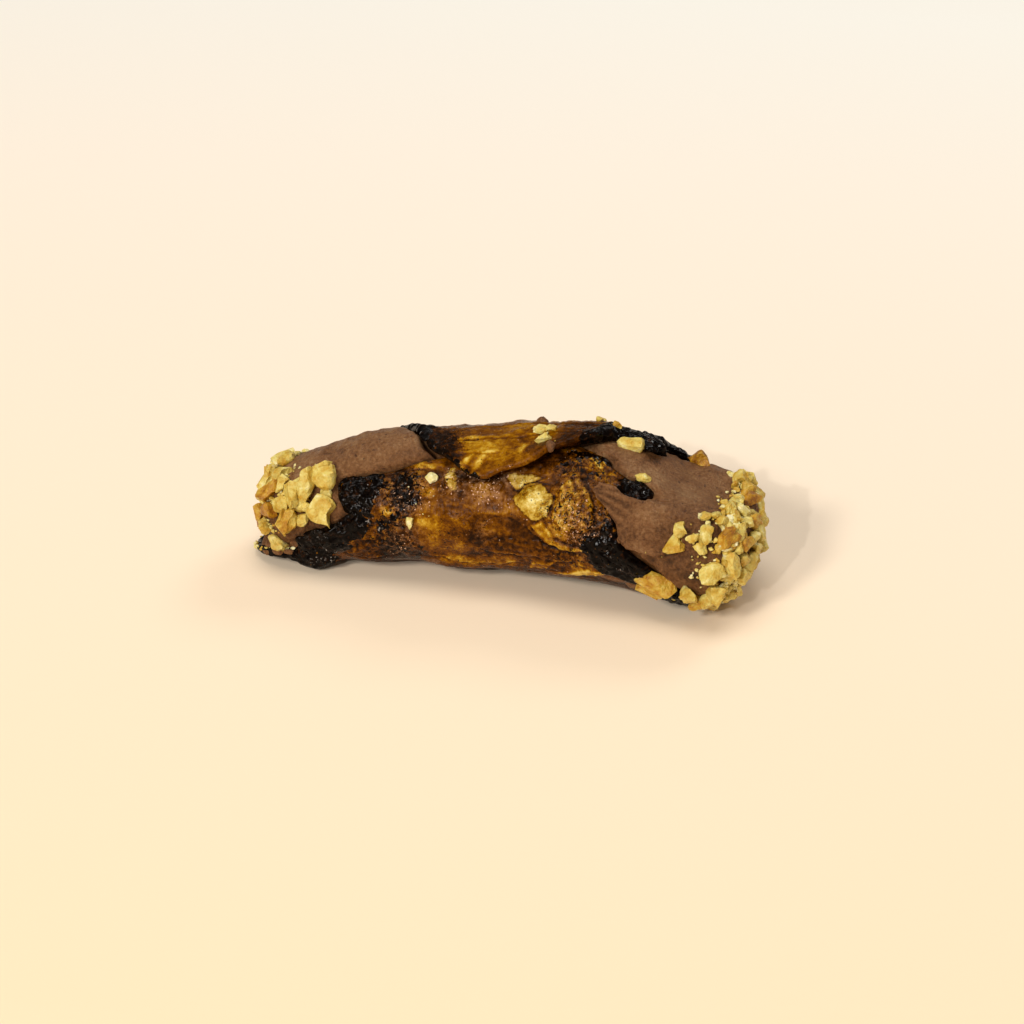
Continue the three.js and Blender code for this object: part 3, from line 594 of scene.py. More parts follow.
def line_distance(lines, x, round_):
    """How far each place lies from the nearest of some lines, in millimetres."""
    nearest = np.full(np.shape(x), 9.0)
    for corners in lines:
        spots = spots_of(corners)
        for start, end in zip(spots, spots[1:]):
            nearest = np.minimum(nearest, np.hypot(*off_line(start, end, x, round_)))
    return nearest


def softened(values, times):
    """A grid of numbers, each averaged with its neighbours this many times."""
    for _ in range(times):
        wide = np.pad(values, 1, mode="edge")
        values = (wide[:-2, 1:-1] + wide[2:, 1:-1] + wide[1:-1, :-2] + wide[1:-1, 2:] + 4 * values) / 8
    return values


def outward_of(points):
    """Directions square to a grid of points, whose rows run round the roll and columns along it."""
    round_, along = np.gradient(points, axis=0), np.gradient(points, axis=1)
    square = np.cross(along, round_)
    return square / np.maximum(np.linalg.norm(square, axis=-1, keepdims=True), 1e-9)


def new_piece(name, points, faces, material):
    """A mesh object at the origin, from points in millimetres."""
    mesh = bpy.data.meshes.new(name)
    mesh.from_pydata((np.asarray(points) * MM).tolist(), [], faces)
    mesh.update()
    mesh.validate()
    mesh.shade_smooth()
    mesh.materials.append(material)
    piece = bpy.data.objects.new(name, mesh)
    bpy.context.scene.collection.objects.link(piece)
    return piece


def paint(piece, **shares):
    """Stores a number for each point of a piece, by name."""
    for name, values in shares.items():
        attribute = piece.data.attributes.new(name, "FLOAT", "POINT")
        attribute.data.foreach_set("value", np.asarray(values, np.float32).ravel())


def quads(at, rows, columns, wrap=False):
    """Faces of a grid; at(i, j) numbers its points."""
    last = columns if wrap else columns - 1
    return [
        (at(i, j), at(i, (j + 1) % columns), at(i + 1, (j + 1) % columns), at(i + 1, j))
        for i in range(rows - 1)
        for j in range(last)
    ]


# ---- Materials -----------------------------------------------------------------------------------
def linear(colour):
    """An sRGB hex colour as the linear red, green, blue and alpha that shaders take."""
    parts = [int(colour[i : i + 2], 16) / 255 for i in (1, 3, 5)]
    return [c / 12.92 if c <= 0.04045 else ((c + 0.055) / 1.055) ** 2.4 for c in parts] + [1]


def per_metre(size_mm):
    """The noise scale that gives humps of this size in millimetres, on Object coordinates in metres."""
    return 1000 / size_mm


def add(tree, kind, inputs=None, stops=None, **settings):
    """Adds a node. inputs are values, or sockets to link, by the input's name or number; stops are for
    a colour ramp."""
    made = tree.nodes.new(kind)
    for name, value in settings.items():
        setattr(made, name, value)
    for name, value in (inputs or {}).items():
        if isinstance(value, bpy.types.NodeSocket):
            tree.links.new(value, made.inputs[name])
        else:
            made.inputs[name].default_value = value
    if stops:
        ramp = made.color_ramp.elements
        while len(ramp) < len(stops):
            ramp.new(1)
        for element, (place, colour) in zip(ramp, stops):
            element.position = place
            element.color = linear(colour) if isinstance(colour, str) else (colour, colour, colour, 1)
    return made


def material(name):
    made = bpy.data.materials.new(name)
    made.use_nodes = True
    made.node_tree.nodes.clear()
    return made, made.node_tree


# Numbers of the inputs and the output of Blender's Mix node that are for colours.
COLOUR_A, COLOUR_B, COLOUR_OUT = 6, 7, 2
# Numbers stored for each point of the sheet, which its material reads.
SHEET_MARKS = ("tone", "coat", "pale", "crack", "speckled", "wet", "bloom")


def set_chocolate(tree, place, bloom):
    """Dark chocolate that set as it ran: nearly black with a glossy look, in folds wide enough for each
    to glint, with pale grey glints painted on in streaks. Returns its shader."""
    streaks = add(tree, "ShaderNodeTexNoise", {"Vector": place, "Scale": per_metre(1.3), "Detail": 3})
    glint_noise = add(tree, "ShaderNodeTexNoise", {"Vector": place, "Scale": per_metre(0.75), "Detail": 3})
    folds = add(tree, "ShaderNodeTexNoise", {"Vector": place, "Scale": per_metre(2.0), "Detail": 0.6})
    colour = add(
        tree, "ShaderNodeValToRGB", {"Fac": streaks.outputs["Fac"]},
        stops=[(0.3, "#030101"), (0.55, "#080301"), (0.64, "#1a0b03"), (0.76, "#3a1e0a")],
    )
    # Pale grey glints painted on in streaks, as strongly as the painted glint share says.
    glint_streaks = add(
        tree, "ShaderNodeMapRange", {"Value": glint_noise.outputs["Fac"], "From Min": 0.58, "From Max": 0.65},
    )
    glinted = add(tree, "ShaderNodeMath", {0: glint_streaks.outputs[0], 1: bloom}, operation="MULTIPLY")
    with_painted_glints = add(
        tree, "ShaderNodeMix",
        {0: glinted.outputs[0], COLOUR_A: colour.outputs["Color"], COLOUR_B: linear("#aaa39d")},
        data_type="RGBA",
    )
    wrinkles = add(
        tree, "ShaderNodeBump", {"Height": folds.outputs["Fac"], "Strength": 1.0, "Distance": 1.3 * MM},
    )
    shader = add(
        tree, "ShaderNodeBsdfPrincipled",
        {
            "Base Color": with_painted_glints.outputs[COLOUR_OUT], "Roughness": 0.17, "Normal": wrinkles.outputs[0],
            "IOR": 1.47, "Specular IOR Level": 0.1,
        },
    )
    return shader.outputs[0]


# Noise in the crust: its name, the size of its humps in millimetres, and its detail. The one named
# grain places the painted glints.
CRUST_NOISE = [
    ("cloud", 3.4, 3), ("mottle", 1.3, 3), ("fine", 0.5, 2), ("broad", 5, 1), ("break_up", 1.1, 4),
    ("fleck", 0.95, 2), ("grain", 0.62, 1),
]
# Sums done in the crust, in order: a name, what is done, and to what. A name stands for a noise, for a
# number painted on the sheet, or for a sum before it. A share below 0 or above 1 is cut off where it
# is used.
CRUST_SUMS = [
    ("uneven", "MULTIPLY_ADD", "speckled", 0.9, 0.2),
    ("cloud_part", "MULTIPLY_ADD", "cloud", 0.34, -0.17),
    ("mottle_part", "MULTIPLY_ADD", "mottle", 1.1, -0.55),
    ("fine_part", "MULTIPLY_ADD", "fine", 0.9, -0.45),
    ("shade_1", "ADD", "tone", "cloud_part"),
    ("shade_2", "MULTIPLY_ADD", "mottle_part", "uneven", "shade_1"),
    ("shade", "MULTIPLY_ADD", "fine_part", "uneven", "shade_2"),
    # Inside the pale flakes, whose outline the noise makes ragged, and along a dark line round them.
    ("depth_1", "MULTIPLY_ADD", "mottle_part", 1.6, "pale"),
    ("depth", "ADD", "fine_part", "depth_1"),
    ("on_flake", "MULTIPLY_ADD", "depth", 2.6, 0.4),
    ("off_line", "ADD", "depth", 0.28),
    ("off_line_size", "ABSOLUTE", "off_line"),
    ("line", "MULTIPLY_ADD", "off_line_size", -2.4, 0.55),
    # Dark lines along the cracks, partly painted shade under flake edges.
    ("split_1", "ADD", "crack", "mottle_part"),
    ("crack_shade_share", "MULTIPLY_ADD", "split_1", -3.4, 0.75),
    # Burnt specks, thicker in some places than in others.
    ("level_1", "MULTIPLY_ADD", "speckled", -0.14, 0.765),
    ("level", "MULTIPLY_ADD", "broad", -0.12, "level_1"),
    ("over", "SUBTRACT", "fine", "level"),
    ("speck", "MULTIPLY", "over", 22.0),
    ("fleck_level", "MULTIPLY_ADD", "speckled", -0.15, 0.725),
    ("fleck_over", "SUBTRACT", "fleck", "fleck_level"),
    ("fleck_share", "MULTIPLY", "fleck_over", 14.0),
    # Painted glints: pale pinkish specks painted into the glaze where it is wettest.
    ("painted_glint_level", "MULTIPLY_ADD", "wet", -0.15, 0.75),
    ("painted_glint_over", "SUBTRACT", "grain", "painted_glint_level"),
    ("painted_glint_share", "MULTIPLY", "painted_glint_over", 16.0),
    # A painted sheen: a pinkish-brown highlight painted over the glaze where it is wettest.
    ("film_1", "MULTIPLY_ADD", "mottle", 3.4, -1.5),
    ("painted_sheen", "MULTIPLY", "film_1", "wet"),
    ("painted_sheen_share", "MULTIPLY", "painted_sheen", 0.5),
    # How far the chocolate covers the crust, how dull the crust is, and its fine relief.
    ("cover_1", "MULTIPLY_ADD", "break_up", 2.6, -1.3),
    ("cover_2", "ADD", "cover_1", "coat"),
    ("cover", "MULTIPLY_ADD", "cover_2", 5.5, -2.2),
    ("dull_1", "MULTIPLY_ADD", "cloud", 0.5, -0.02),
    ("dull_2", "MULTIPLY_ADD", "wet", -0.15, "dull_1"),
    ("dull", "MAXIMUM", "dull_2", 0.15),
    ("relief", "MULTIPLY_ADD", "fine", 0.25, "mottle"),
]


def fried_dough():
    """Wheat pastry fried in oil until it blistered: amber under a thin glossy glaze, with crisp pale
    flakes, dark cracks, partly painted shade under flake edges, and burnt specks, and a painted pinkish
    sheen and painted glints where the glaze is wettest. Towards the ends it is dipped in dark chocolate,
    which breaks up over the crust's bumps."""
    made, tree = material("fried_dough_chocolate_dipped")
    place = add(tree, "ShaderNodeTexCoord").outputs["Object"]
    known = {}
    for name in SHEET_MARKS:
        known[name] = add(tree, "ShaderNodeAttribute", attribute_name=name).outputs["Fac"]
    for name, size_mm, detail in CRUST_NOISE:
        values = {"Vector": place, "Scale": per_metre(size_mm), "Detail": detail, "Roughness": 0.6}
        known[name] = add(tree, "ShaderNodeTexNoise", values).outputs["Fac"]
    for name, operation, *parts in CRUST_SUMS:
        values = {i: known.get(part, part) for i, part in enumerate(parts)}
        known[name] = add(tree, "ShaderNodeMath", values, operation=operation).outputs[0]
    amber = add(
        tree, "ShaderNodeValToRGB", {"Fac": known["shade"]},
        stops=[
            (0.0, "#0c0501"), (0.2, "#291100"), (0.34, "#462300"), (0.5, "#693a00"), (0.62, "#865300"),
            (0.74, "#a2700a"), (0.87, "#bd922a"), (1.0, "#d6b658"),
        ],
    )
    flake = add(
        tree, "ShaderNodeValToRGB", {"Fac": known["shade"]},
        stops=[
            (0.1, "#3e2000"), (0.32, "#7a4e04"), (0.52, "#a57e1c"), (0.68, "#c8a84c"), (0.84, "#e2cf84"),
            (1.0, "#efe3ac"),
        ],
    )
    crust = amber.outputs["Color"]
    # Over the crust in turn: pale flakes, dark lines, cracks that are partly painted shade, a painted
    # sheen, burnt specks and flecks, and painted glints.
    for share, over in (
        ("on_flake", flake.outputs["Color"]), ("line", linear("#241002")), ("crack_shade_share", linear("#1a0a02")),
        ("painted_sheen_share", linear("#c89f7c")), ("speck", linear("#120701")), ("fleck_share", linear("#0e0501")),
        ("painted_glint_share", linear("#deb394")),
    ):
        values = {0: known[share], COLOUR_A: crust, COLOUR_B: over}
        crust = add(tree, "ShaderNodeMix", values, data_type="RGBA").outputs[COLOUR_OUT]
    rough = add(tree, "ShaderNodeBump", {"Height": known["relief"], "Strength": 1.0, "Distance": 0.34 * MM})
    crisp = add(
        tree, "ShaderNodeBsdfPrincipled",
        {
            "Base Color": crust, "Roughness": known["dull"], "Normal": rough.outputs[0], "IOR": 1.47,
            "Specular IOR Level": 0.08,
        },
    )
    covered = add(tree, "ShaderNodeClamp", {"Value": known["cover"]})
    dipped = set_chocolate(tree, place, known["bloom"])
    shader = add(tree, "ShaderNodeMixShader", {0: covered.outputs[0], 1: crisp.outputs[0], 2: dipped})
    add(tree, "ShaderNodeOutputMaterial", {"Surface": shader.outputs[0]})
    return made


def dark_chocolate():
    """Dark chocolate set thick along the mouths, the same as on the sheet, with next to no painted glints.
    """
    made, tree = material("dark_chocolate_set")
    place = add(tree, "ShaderNodeTexCoord").outputs["Object"]
    add(tree, "ShaderNodeOutputMaterial", {"Surface": set_chocolate(tree, place, 0.06)})
    return made


def chocolate_cream():
    """Cream beaten with chocolate and smoothed on with a knife: a pinkish milk-chocolate brown with a
    soft satin surface, faint streaks and tiny pits where air has burst."""
    made, tree = material("chocolate_cream_whipped")
    place = add(tree, "ShaderNodeTexCoord").outputs["Object"]
    tone = add(tree, "ShaderNodeAttribute", attribute_name="tone").outputs["Fac"]
    cloud = add(
        tree, "ShaderNodeTexNoise", {"Vector": place, "Scale": per_metre(7), "Detail": 4, "Roughness": 0.6},
    )
    grain = add(
        tree, "ShaderNodeTexNoise",
        {"Vector": place, "Scale": per_metre(0.8), "Detail": 5, "Roughness": 0.72},
    )
    clouded = add(
        tree, "ShaderNodeMath", {0: cloud.outputs["Fac"], 1: 0.4, 2: -0.2}, operation="MULTIPLY_ADD",
    )
    grained = add(
        tree, "ShaderNodeMath", {0: grain.outputs["Fac"], 1: 1.5, 2: -0.75}, operation="MULTIPLY_ADD",
    )
    mottled = add(tree, "ShaderNodeMath", {0: clouded.outputs[0], 1: grained.outputs[0]}, operation="ADD")
    shade = add(tree, "ShaderNodeMath", {0: mottled.outputs[0], 1: tone}, operation="ADD")
    colour = add(
        tree, "ShaderNodeValToRGB", {"Fac": shade.outputs[0]},
        stops=[(0.0, "#341d0b"), (0.3, "#58371a"), (0.5, "#734b29"), (0.72, "#865d38"), (1.0, "#a17c55")],
    )
    dots = add(tree, "ShaderNodeTexNoise", {"Vector": place, "Scale": per_metre(1.6), "Detail": 2})
    pit = add(
        tree, "ShaderNodeMapRange", {"Value": dots.outputs["Fac"], "From Min": 0.665, "From Max": 0.72},
    )
    pitted = add(
        tree, "ShaderNodeMix",
        {0: pit.outputs[0], COLOUR_A: colour.outputs["Color"], COLOUR_B: linear("#4f2f18")},
        data_type="RGBA",
    )
    dull = add(
        tree, "ShaderNodeMapRange",
        {"Value": cloud.outputs["Fac"], "From Min": 0.3, "From Max": 0.7, "To Min": 0.36, "To Max": 0.56},
    )
    soft = add(
        tree, "ShaderNodeBump", {"Height": grain.outputs["Fac"], "Strength": 1.0, "Distance": 0.75 * MM},
    )
    shader = add(
        tree, "ShaderNodeBsdfPrincipled",
        {
            "Base Color": pitted.outputs[COLOUR_OUT], "Roughness": dull.outputs[0],
            "Normal": soft.outputs[0], "IOR": 1.45, "Subsurface Weight": 0.12,
            "Subsurface Radius": (0.0016, 0.0009, 0.0005), "Subsurface Scale": 1.0,
            "Specular IOR Level": 0.32,
        },
    )
    add(tree, "ShaderNodeOutputMaterial", {"Surface": shader.outputs[0]})
    return made


def chopped_nut():
    """Roasted nuts chopped into chunks: pale, waxy cut faces, with some toasted to orange at the skin
    side."""
    made, tree = material("roasted_nut_chopped")
    place = add(tree, "ShaderNodeTexCoord").outputs["Object"]
    tone = add(tree, "ShaderNodeAttribute", attribute_name="tone").outputs["Fac"]
    cloud = add(
        tree, "ShaderNodeTexNoise",
        {"Vector": place, "Scale": per_metre(2.2), "Detail": 3, "Roughness": 0.6},
    )
    grain = add(tree, "ShaderNodeTexNoise", {"Vector": place, "Scale": per_metre(0.6), "Detail": 2})
    clouded = add(
        tree, "ShaderNodeMath", {0: cloud.outputs["Fac"], 1: 1.3, 2: -0.65}, operation="MULTIPLY_ADD",
    )
    shade = add(tree, "ShaderNodeMath", {0: clouded.outputs[0], 1: tone}, operation="ADD")
    colour = add(
        tree, "ShaderNodeValToRGB", {"Fac": shade.outputs[0]},
        stops=[(0.0, "#8c5606"), (0.2, "#b47f12"), (0.42, "#c6a036"), (0.7, "#d9c56a"), (1.0, "#efe6b4")],
    )
    soft = add(
        tree, "ShaderNodeBump", {"Height": grain.outputs["Fac"], "Strength": 0.9, "Distance": 0.5 * MM},
    )
    shader = add(
        tree, "ShaderNodeBsdfPrincipled",
        {
            "Base Color": colour.outputs["Color"], "Roughness": 0.48, "Normal": soft.outputs[0],
            "IOR": 1.47, "Subsurface Weight": 0.08, "Subsurface Radius": (0.0012, 0.0008, 0.0003),
            "Subsurface Scale": 1.0,
        },
    )
    add(tree, "ShaderNodeOutputMaterial", {"Surface": shader.outputs[0]})
    return made


def pale_floor():
    """A matt painted board, a little warmer towards the front."""
    made, tree = material("painted_board_matt")
    place = add(tree, "ShaderNodeTexCoord").outputs["Object"]
    parts = add(tree, "ShaderNodeSeparateXYZ", {0: place})
    far = add(
        tree, "ShaderNodeMapRange", {"Value": parts.outputs["Y"], "From Min": -0.19, "From Max": 0.47},
    )
    colour = add(
        tree, "ShaderNodeValToRGB", {"Fac": far.outputs[0]},
        stops=[(0.0, "#fbe2be"), (0.5, "#feeeda"), (1.0, "#fffcf3")],
    )
    shader = add(
        tree, "ShaderNodeBsdfPrincipled",
        {"Base Color": colour.outputs["Color"], "Roughness": 0.9, "Specular IOR Level": 0.1},
    )
    add(tree, "ShaderNodeOutputMaterial", {"Surface": shader.outputs[0]})
    return made


DOUGH_FINISH, CHOCOLATE_FINISH = fried_dough(), dark_chocolate()
CREAM_FINISH, NUT_FINISH = chocolate_cream(), chopped_nut()


# ---- The rolled sheet of dough -------------------------------------------------------------------
RIM_STEPS = [0, 0.07, 0.2, 0.4, 0.65, 0.95, 1.3, 1.75]  # millimetres in from an edge of the sheet
RIM_ROUND = 1.0
SHEET_COLUMNS = 300
ROW_SPANS = [(-165, 0.34), (30, 0.8), (152, 0.33), (180, 0.6)]  # up to which angle, spacing in mm
HIDDEN_SPACING = 0.8  # of the rows beyond those, where the sheet runs on under its own flap
RIM_SHARE = 0.3  # the rim's rows take up no more than this share of a narrow part of the sheet
COAT_FADE = 2.2  # half the distance over which the chocolate's edge thins out


def ragged_edge(knots, angle, seed):
    """An edge of the sheet with the small chips and waves that frying gives it."""
    same = np.zeros(np.shape(angle))
    around = np.stack([arc(angle), same + seed * 7.0, same], axis=-1)
    chips = 0.45 * unevenness(around, 3.2, seed) + 0.28 * unevenness(around, 1.1, seed + 1)
    return through(knots, angle) + chips


def sheet_rows():
    """Angles of the sheet's rows: close together at its two edges and where it is seen."""
    rim = np.array(RIM_STEPS) / arc(1)
    rows = [LAP_ANGLE + rim]
    start = LAP_ANGLE + rim[-1]
    for end, spacing in (*ROW_SPANS, (TUCK_ANGLE - rim[-1], HIDDEN_SPACING)):
        count = int(round((end - start) * arc(1) / spacing))
        rows.append(np.linspace(start, end, count + 1)[1:])
        start = end
    rows.append(TUCK_ANGLE - rim[-2::-1])
    return np.concatenate(rows)


def sheet_grid():
    """For each point of the sheet: x, angle, and how far it lies from the nearest edge of any kind."""
    rows = sheet_rows()
    tip = smooth(0, 9, arc(rows - LAP_ANGLE))
    left = mix(through(LEFT_EDGE, rows), ragged_edge(LEFT_EDGE, rows, 3), tip)
    right = mix(through(RIGHT_EDGE, rows), ragged_edge(RIGHT_EDGE, rows, 9), tip)
    slant = [np.hypot(1, np.gradient(through(knots, rows), arc(rows))) for knots in (LEFT_EDGE, RIGHT_EDGE)]
    width = right - left
    x = np.zeros((len(rows), SHEET_COLUMNS))
    rim = np.array(RIM_STEPS)
    between = SHEET_COLUMNS - 2 * len(rim) + 2
    for i in range(len(rows)):
        widest = rim * width[i] * RIM_SHARE / rim[-1]
        from_left, from_right = (np.minimum(rim * slanted[i], widest) for slanted in slant)
        middle = np.linspace(left[i] + from_left[-1], right[i] - from_right[-1], between)
        x[i] = np.concatenate([left[i] + from_left, middle[1:-1], right[i] - from_right[::-1]])
    angle = np.repeat(rows[:, None], SHEET_COLUMNS, axis=1)
    sides = [(x - left[:, None]) / slant[0][:, None], (right[:, None] - x) / slant[1][:, None]]
    ends = [arc(angle - LAP_ANGLE), arc(TUCK_ANGLE - angle)]
    return x, angle, np.maximum(np.min([*sides, *ends], axis=0), 0)


def rim_drop(edge):
    """How far a face of the sheet has rounded away towards its middle, this far from the edge."""
    return DOUGH / 2 * (1 - np.sqrt(1 - np.clip(1 - edge / RIM_ROUND, 0, 1) ** 2))


def coat_of(x, angle, plain):
    """How far the dark chocolate covers each place, from 0 to 1."""
    fringe = 1.5 * unevenness(plain, 3.4, 51) + 0.9 * unevenness(plain, 1.5, 53)
    inwards = (through(COAT_LEFT, angle) + fringe - x, x - through(COAT_RIGHT, angle) + fringe)
    left, right = (smooth(-COAT_FADE, COAT_FADE, depth) for depth in inwards)
    return np.clip(np.maximum(left, right) + patches(COAT_SPOTS, x, angle), 0, 1)


def crisp_flakes(x, round_):
    """How deep each place lies in a pale flake, how far all flakes stand up there, and how much
    lighter than the rest the amber ones are."""
    pale = np.full(x.shape, -9.0)
    stand, lighter = np.zeros(x.shape), np.zeros(x.shape)
    for height, corners in PALE_FLAKES:
        depth = outline_depth(corners, x, round_)
        pale = np.maximum(pale, depth)
        stand += height * smooth(-0.2, 0.45, depth)
    for height, shade, corners in AMBER_FLAKES:
        depth = outline_depth(corners, x, round_)
        stand += height * smooth(-0.25, 0.5, depth) * np.exp(-np.maximum(depth, 0) / 4)
        lighter += shade * smooth(-0.2, 0.4, depth)
    return pale, stand, lighter


def crust_relief(plain, steps, crack, speckled):
    """How far the crust stands off the plain sheet, in millimetres. Each part's height comes first."""
    boils = np.maximum(bubbles(plain, 3.6, 61) - 0.25, 0) * smooth(0.0, 0.6, unevenness(plain, 11, 67))
    pimples = np.maximum(bubbles(plain, 1.5, 71) - 0.25, 0) * smooth(-0.2, 0.5, unevenness(plain, 8, 73))
    burnt = np.maximum(bubbles(plain, 1.3, 72) - 0.3, 0) * smooth(0.4, 1, speckled)
    plates = creases(plain, 6.0, 97) * smooth(-0.1, 0.4, unevenness(plain, 13, 99))
    return (
        steps
        + 0.5 * boils
        + 0.3 * pimples
        + 0.35 * burnt
        - 0.3 * np.exp(-((crack / 0.5) ** 2))
        - 0.07 * plates
        + 0.32 * roughness_of(plain, 7.5, 79, 2)
        + 0.2 * roughness_of(plain, 2.3, 83, 3)
    )


def chocolate_relief(plain, coat, edge):
    """How thick the dark chocolate lies: in ropes and grains, and thicker along the sheet's edge."""
    ropes = 1 - 2 * np.abs(unevenness(plain, 3.3, 85)) + 0.6 * (1 - 2 * np.abs(unevenness(plain, 1.7, 87)))
    grains = np.maximum(bubbles(plain, 1.9, 88) - 0.2, 0)
    rim = np.exp(-((edge / 2.2) ** 2))
    rough = roughness_of(plain, 2.2, 89, 3)
    return coat * (0.25 + 0.36 * ropes + 0.5 * grains + 0.25 * rough + 0.3 * rim)


def sparse(count, start, step):
    """Which of the outside's rows or columns the inside keeps: close together only near the edges."""
    middle = range(start, count - start, step)
    return sorted({0, 2, 4, 7, *middle, count - 8, count - 5, count - 3, count - 1})


def inside_of(rows, columns, kept_rows, kept_columns, places):
    """The inside of the sheet, which shares its edges with the outside: its own points, the cells
    (row, column) that they lie under, and its faces."""
    number = np.arange(rows * columns).reshape(rows, columns)
    inner = np.zeros(places.shape[:2], int)
    points, cells, faces = [], [], []
    for i, row in enumerate(kept_rows):
        for j, column in enumerate(kept_columns):
            if row in (0, rows - 1) or column in (0, columns - 1):
                inner[i, j] = number[row, column]
            else:
                inner[i, j] = rows * columns + len(points)
                points.append(places[i, j])
                cells.append((row, column))
    last_i, last_j = len(kept_rows) - 1, len(kept_columns) - 1
    for i in range(last_i):
        for j in range(last_j):
            across = slice(kept_columns[j], kept_columns[j + 1])
            along = slice(kept_rows[i] + 1, kept_rows[i + 1])
            low = number[0, across] if i == 0 else inner[i, j : j + 1]
            high = number[rows - 1, across] if i == last_i - 1 else inner[i + 1, j : j + 1]
            right = number[along, columns - 1] if j == last_j - 1 else []
            left = number[along, 0] if j == 0 else []
            ring = [*low, inner[i, j + 1], *right, inner[i + 1, j + 1], *high[::-1], *left[::-1]]
            faces.append(tuple(int(n) for n in reversed(ring)))
    return np.array(points), tuple(np.array(cells).T), faces


def build_shell():
    """The fried sheet, closed, with its chocolate coat."""
    x, angle, edge = sheet_grid()
    rows, columns = x.shape
    plain = on_roll(x, angle, dough_outside(x, angle))
    outward = outward_of(plain)

    # Places are shifted a little by unevenness, so that no outline laid on the sheet is straight.
    sway = [0.9 * unevenness(plain, 4.5, 41 + k) + 0.45 * unevenness(plain, 1.7, 45 + k) for k in range(2)]
    swayed, swayed_round = x + sway[0], arc(angle + sway[1] / arc(1))
    pale, stand, lighter = crisp_flakes(swayed, swayed_round)
    crack = line_distance(CRACKS_AND_LEDGE_SHADE, swayed, swayed_round)
    steps = 0.8 * flake_edges(CRUST_FLAKES, swayed, swayed_round) + stand
    coat = coat_of(x, angle, plain)
    speckled = patches(SPECKLED, x, angle)
    relief = crust_relief(plain, steps, crack, speckled)
    height = relief * (1 - 0.5 * coat) + chocolate_relief(plain, coat, edge)
    rise = height * clear_of_table(angle) * smooth(0, 1.2, edge)
    outer = plain + outward * (rise - rim_drop(edge))[..., None]

    kept_rows, kept_columns = sparse(rows, 12, 5), sparse(columns, 14, 10)
    kept = np.ix_(kept_rows, kept_columns)
    inner = on_roll(x[kept], angle[kept], dough_middle(x[kept], angle[kept]) - DOUGH)
    inner = inner + outward[kept] * rim_drop(edge[kept])[..., None]
    inside_points, cells, inside_faces = inside_of(rows, columns, kept_rows, kept_columns, inner)
    points = np.concatenate([outer.reshape(-1, 3), inside_points])
    points[:, 2] = np.maximum(points[:, 2], 0)
    faces = quads(lambda i, j: i * columns + j, rows, columns) + inside_faces

    # Painted shade and light: the crust is painted darker where its relief dips below its softened self,
    # and lighter where it rises above it.
    hollow = np.clip(height - softened(height, 10), -0.3, 0.3)
    clouds = 0.12 * unevenness(plain, 5.5, 91) + 0.1 * roughness_of(plain, 2.4, 93, 2)
    tone = CRUST_TONE + patches(CRUST_TONES, x, angle) + lighter + hollow + clouds
    # Painted shade: the crust is painted darker towards underneath, where the roll rests.
    tone -= 0.16 * (1 - smooth(30, 62, np.abs(turn(0, angle))))
    shares = {
        "tone": tone,
        "coat": coat,
        "pale": np.clip(pale, -3, 3),
        "crack": np.minimum(crack, 3),
        "speckled": SPECKLED_ALL_OVER + speckled,
        # Where the glaze is wettest, which also carries its painted sheen and glints.
        "wet": np.clip(patches(WET_AND_PAINTED_SHEEN, x, angle), 0, 1),
        # Where pale glints are painted on the chocolate.
        "bloom": np.clip(patches(PAINTED_GLINT_PATCHES, x, angle), 0, 1),
    }
    shell = new_piece("fried_dough_shell", points, faces, DOUGH_FINISH)
    for name, values in shares.items():
        paint(shell, **{name: np.concatenate([values.ravel(), values[cells]])})
    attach(shell, "root")
    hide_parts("shell")


# ---- The cream -----------------------------------------------------------------------------------
CREAM_SPACING = 0.5
CREAM_SIDES = 230
HIDDEN_FROM, HIDDEN_TO, HIDDEN_SHARE = -17, 19, 0.15  # between these x the cream is inside the tube
TONGUE_ROOT = (19.5, 133)  # where the knife set the tongue of cream down, from which its strokes spread


def cream_shares():
    """Places of the cream's rings, evenly spaced over its ends and far apart where it is hidden."""
    fine = np.linspace(-1, 1, 4001)
    lines = [cream_point(fine, angle) for angle in (90, 180)]
    lengths = np.maximum(*[np.linalg.norm(np.diff(line, axis=0), axis=-1) for line in lines])
    middle = cream_x((fine[1:] + fine[:-1]) / 2)
    hidden = smooth(HIDDEN_FROM - 3, HIDDEN_FROM + 3, middle)
    hidden = hidden * (1 - smooth(HIDDEN_TO - 3, HIDDEN_TO + 3, middle))
    way = np.concatenate([[0], np.cumsum(lengths * mix(1, HIDDEN_SHARE, hidden))])
    count = int(way[-1] / CREAM_SPACING)
    return np.interp(np.linspace(0, way[-1], count + 1)[1:-1], way, fine)


def cream_relief(x, angle, plain):
    """How far the cream's surface stands off its plain form, and its knife strokes and pits alone."""
    turned = turn(0, angle)
    bare = bare_distance(x, angle)
    root_x, root_angle = TONGUE_ROOT
    along, up = x - root_x, arc(turned - root_angle)
    away, heading = np.hypot(along, up), np.degrees(np.arctan2(up, along))
    near = smooth(2, 4.5, away) * (1 - smooth(11, 17, away))
    fan = near * smooth(-75, -60, heading) * (1 - smooth(20, 35, heading))
    strokes = np.sin(np.radians(heading * 34 + 60 * unevenness(plain, 4, 101))) * fan
    knife = np.sin(2 * np.pi * (x / 4.4 + 0.5 * unevenness(plain, 16, 103))) * smooth(0, 6, bare)
    pits = np.maximum(bubbles(plain, 3.1, 107) - 0.72, 0) * smooth(0.05, 0.5, unevenness(plain, 9, 109))
    near_rim = np.exp(-((bare - 1.5) ** 2) / 3)
    return (
        0.45 * unevenness(plain, 13, 111)
        + 0.36 * roughness_of(plain, 5, 113, 3)
        + 0.22 * roughness_of(plain, 1.8, 127, 2)
        + 0.24 * strokes
        + 0.09 * knife
        + 0.35 * near_rim * unevenness(plain, 2.2, 131)
        - 1.5 * pits
    ), strokes * fan, pits


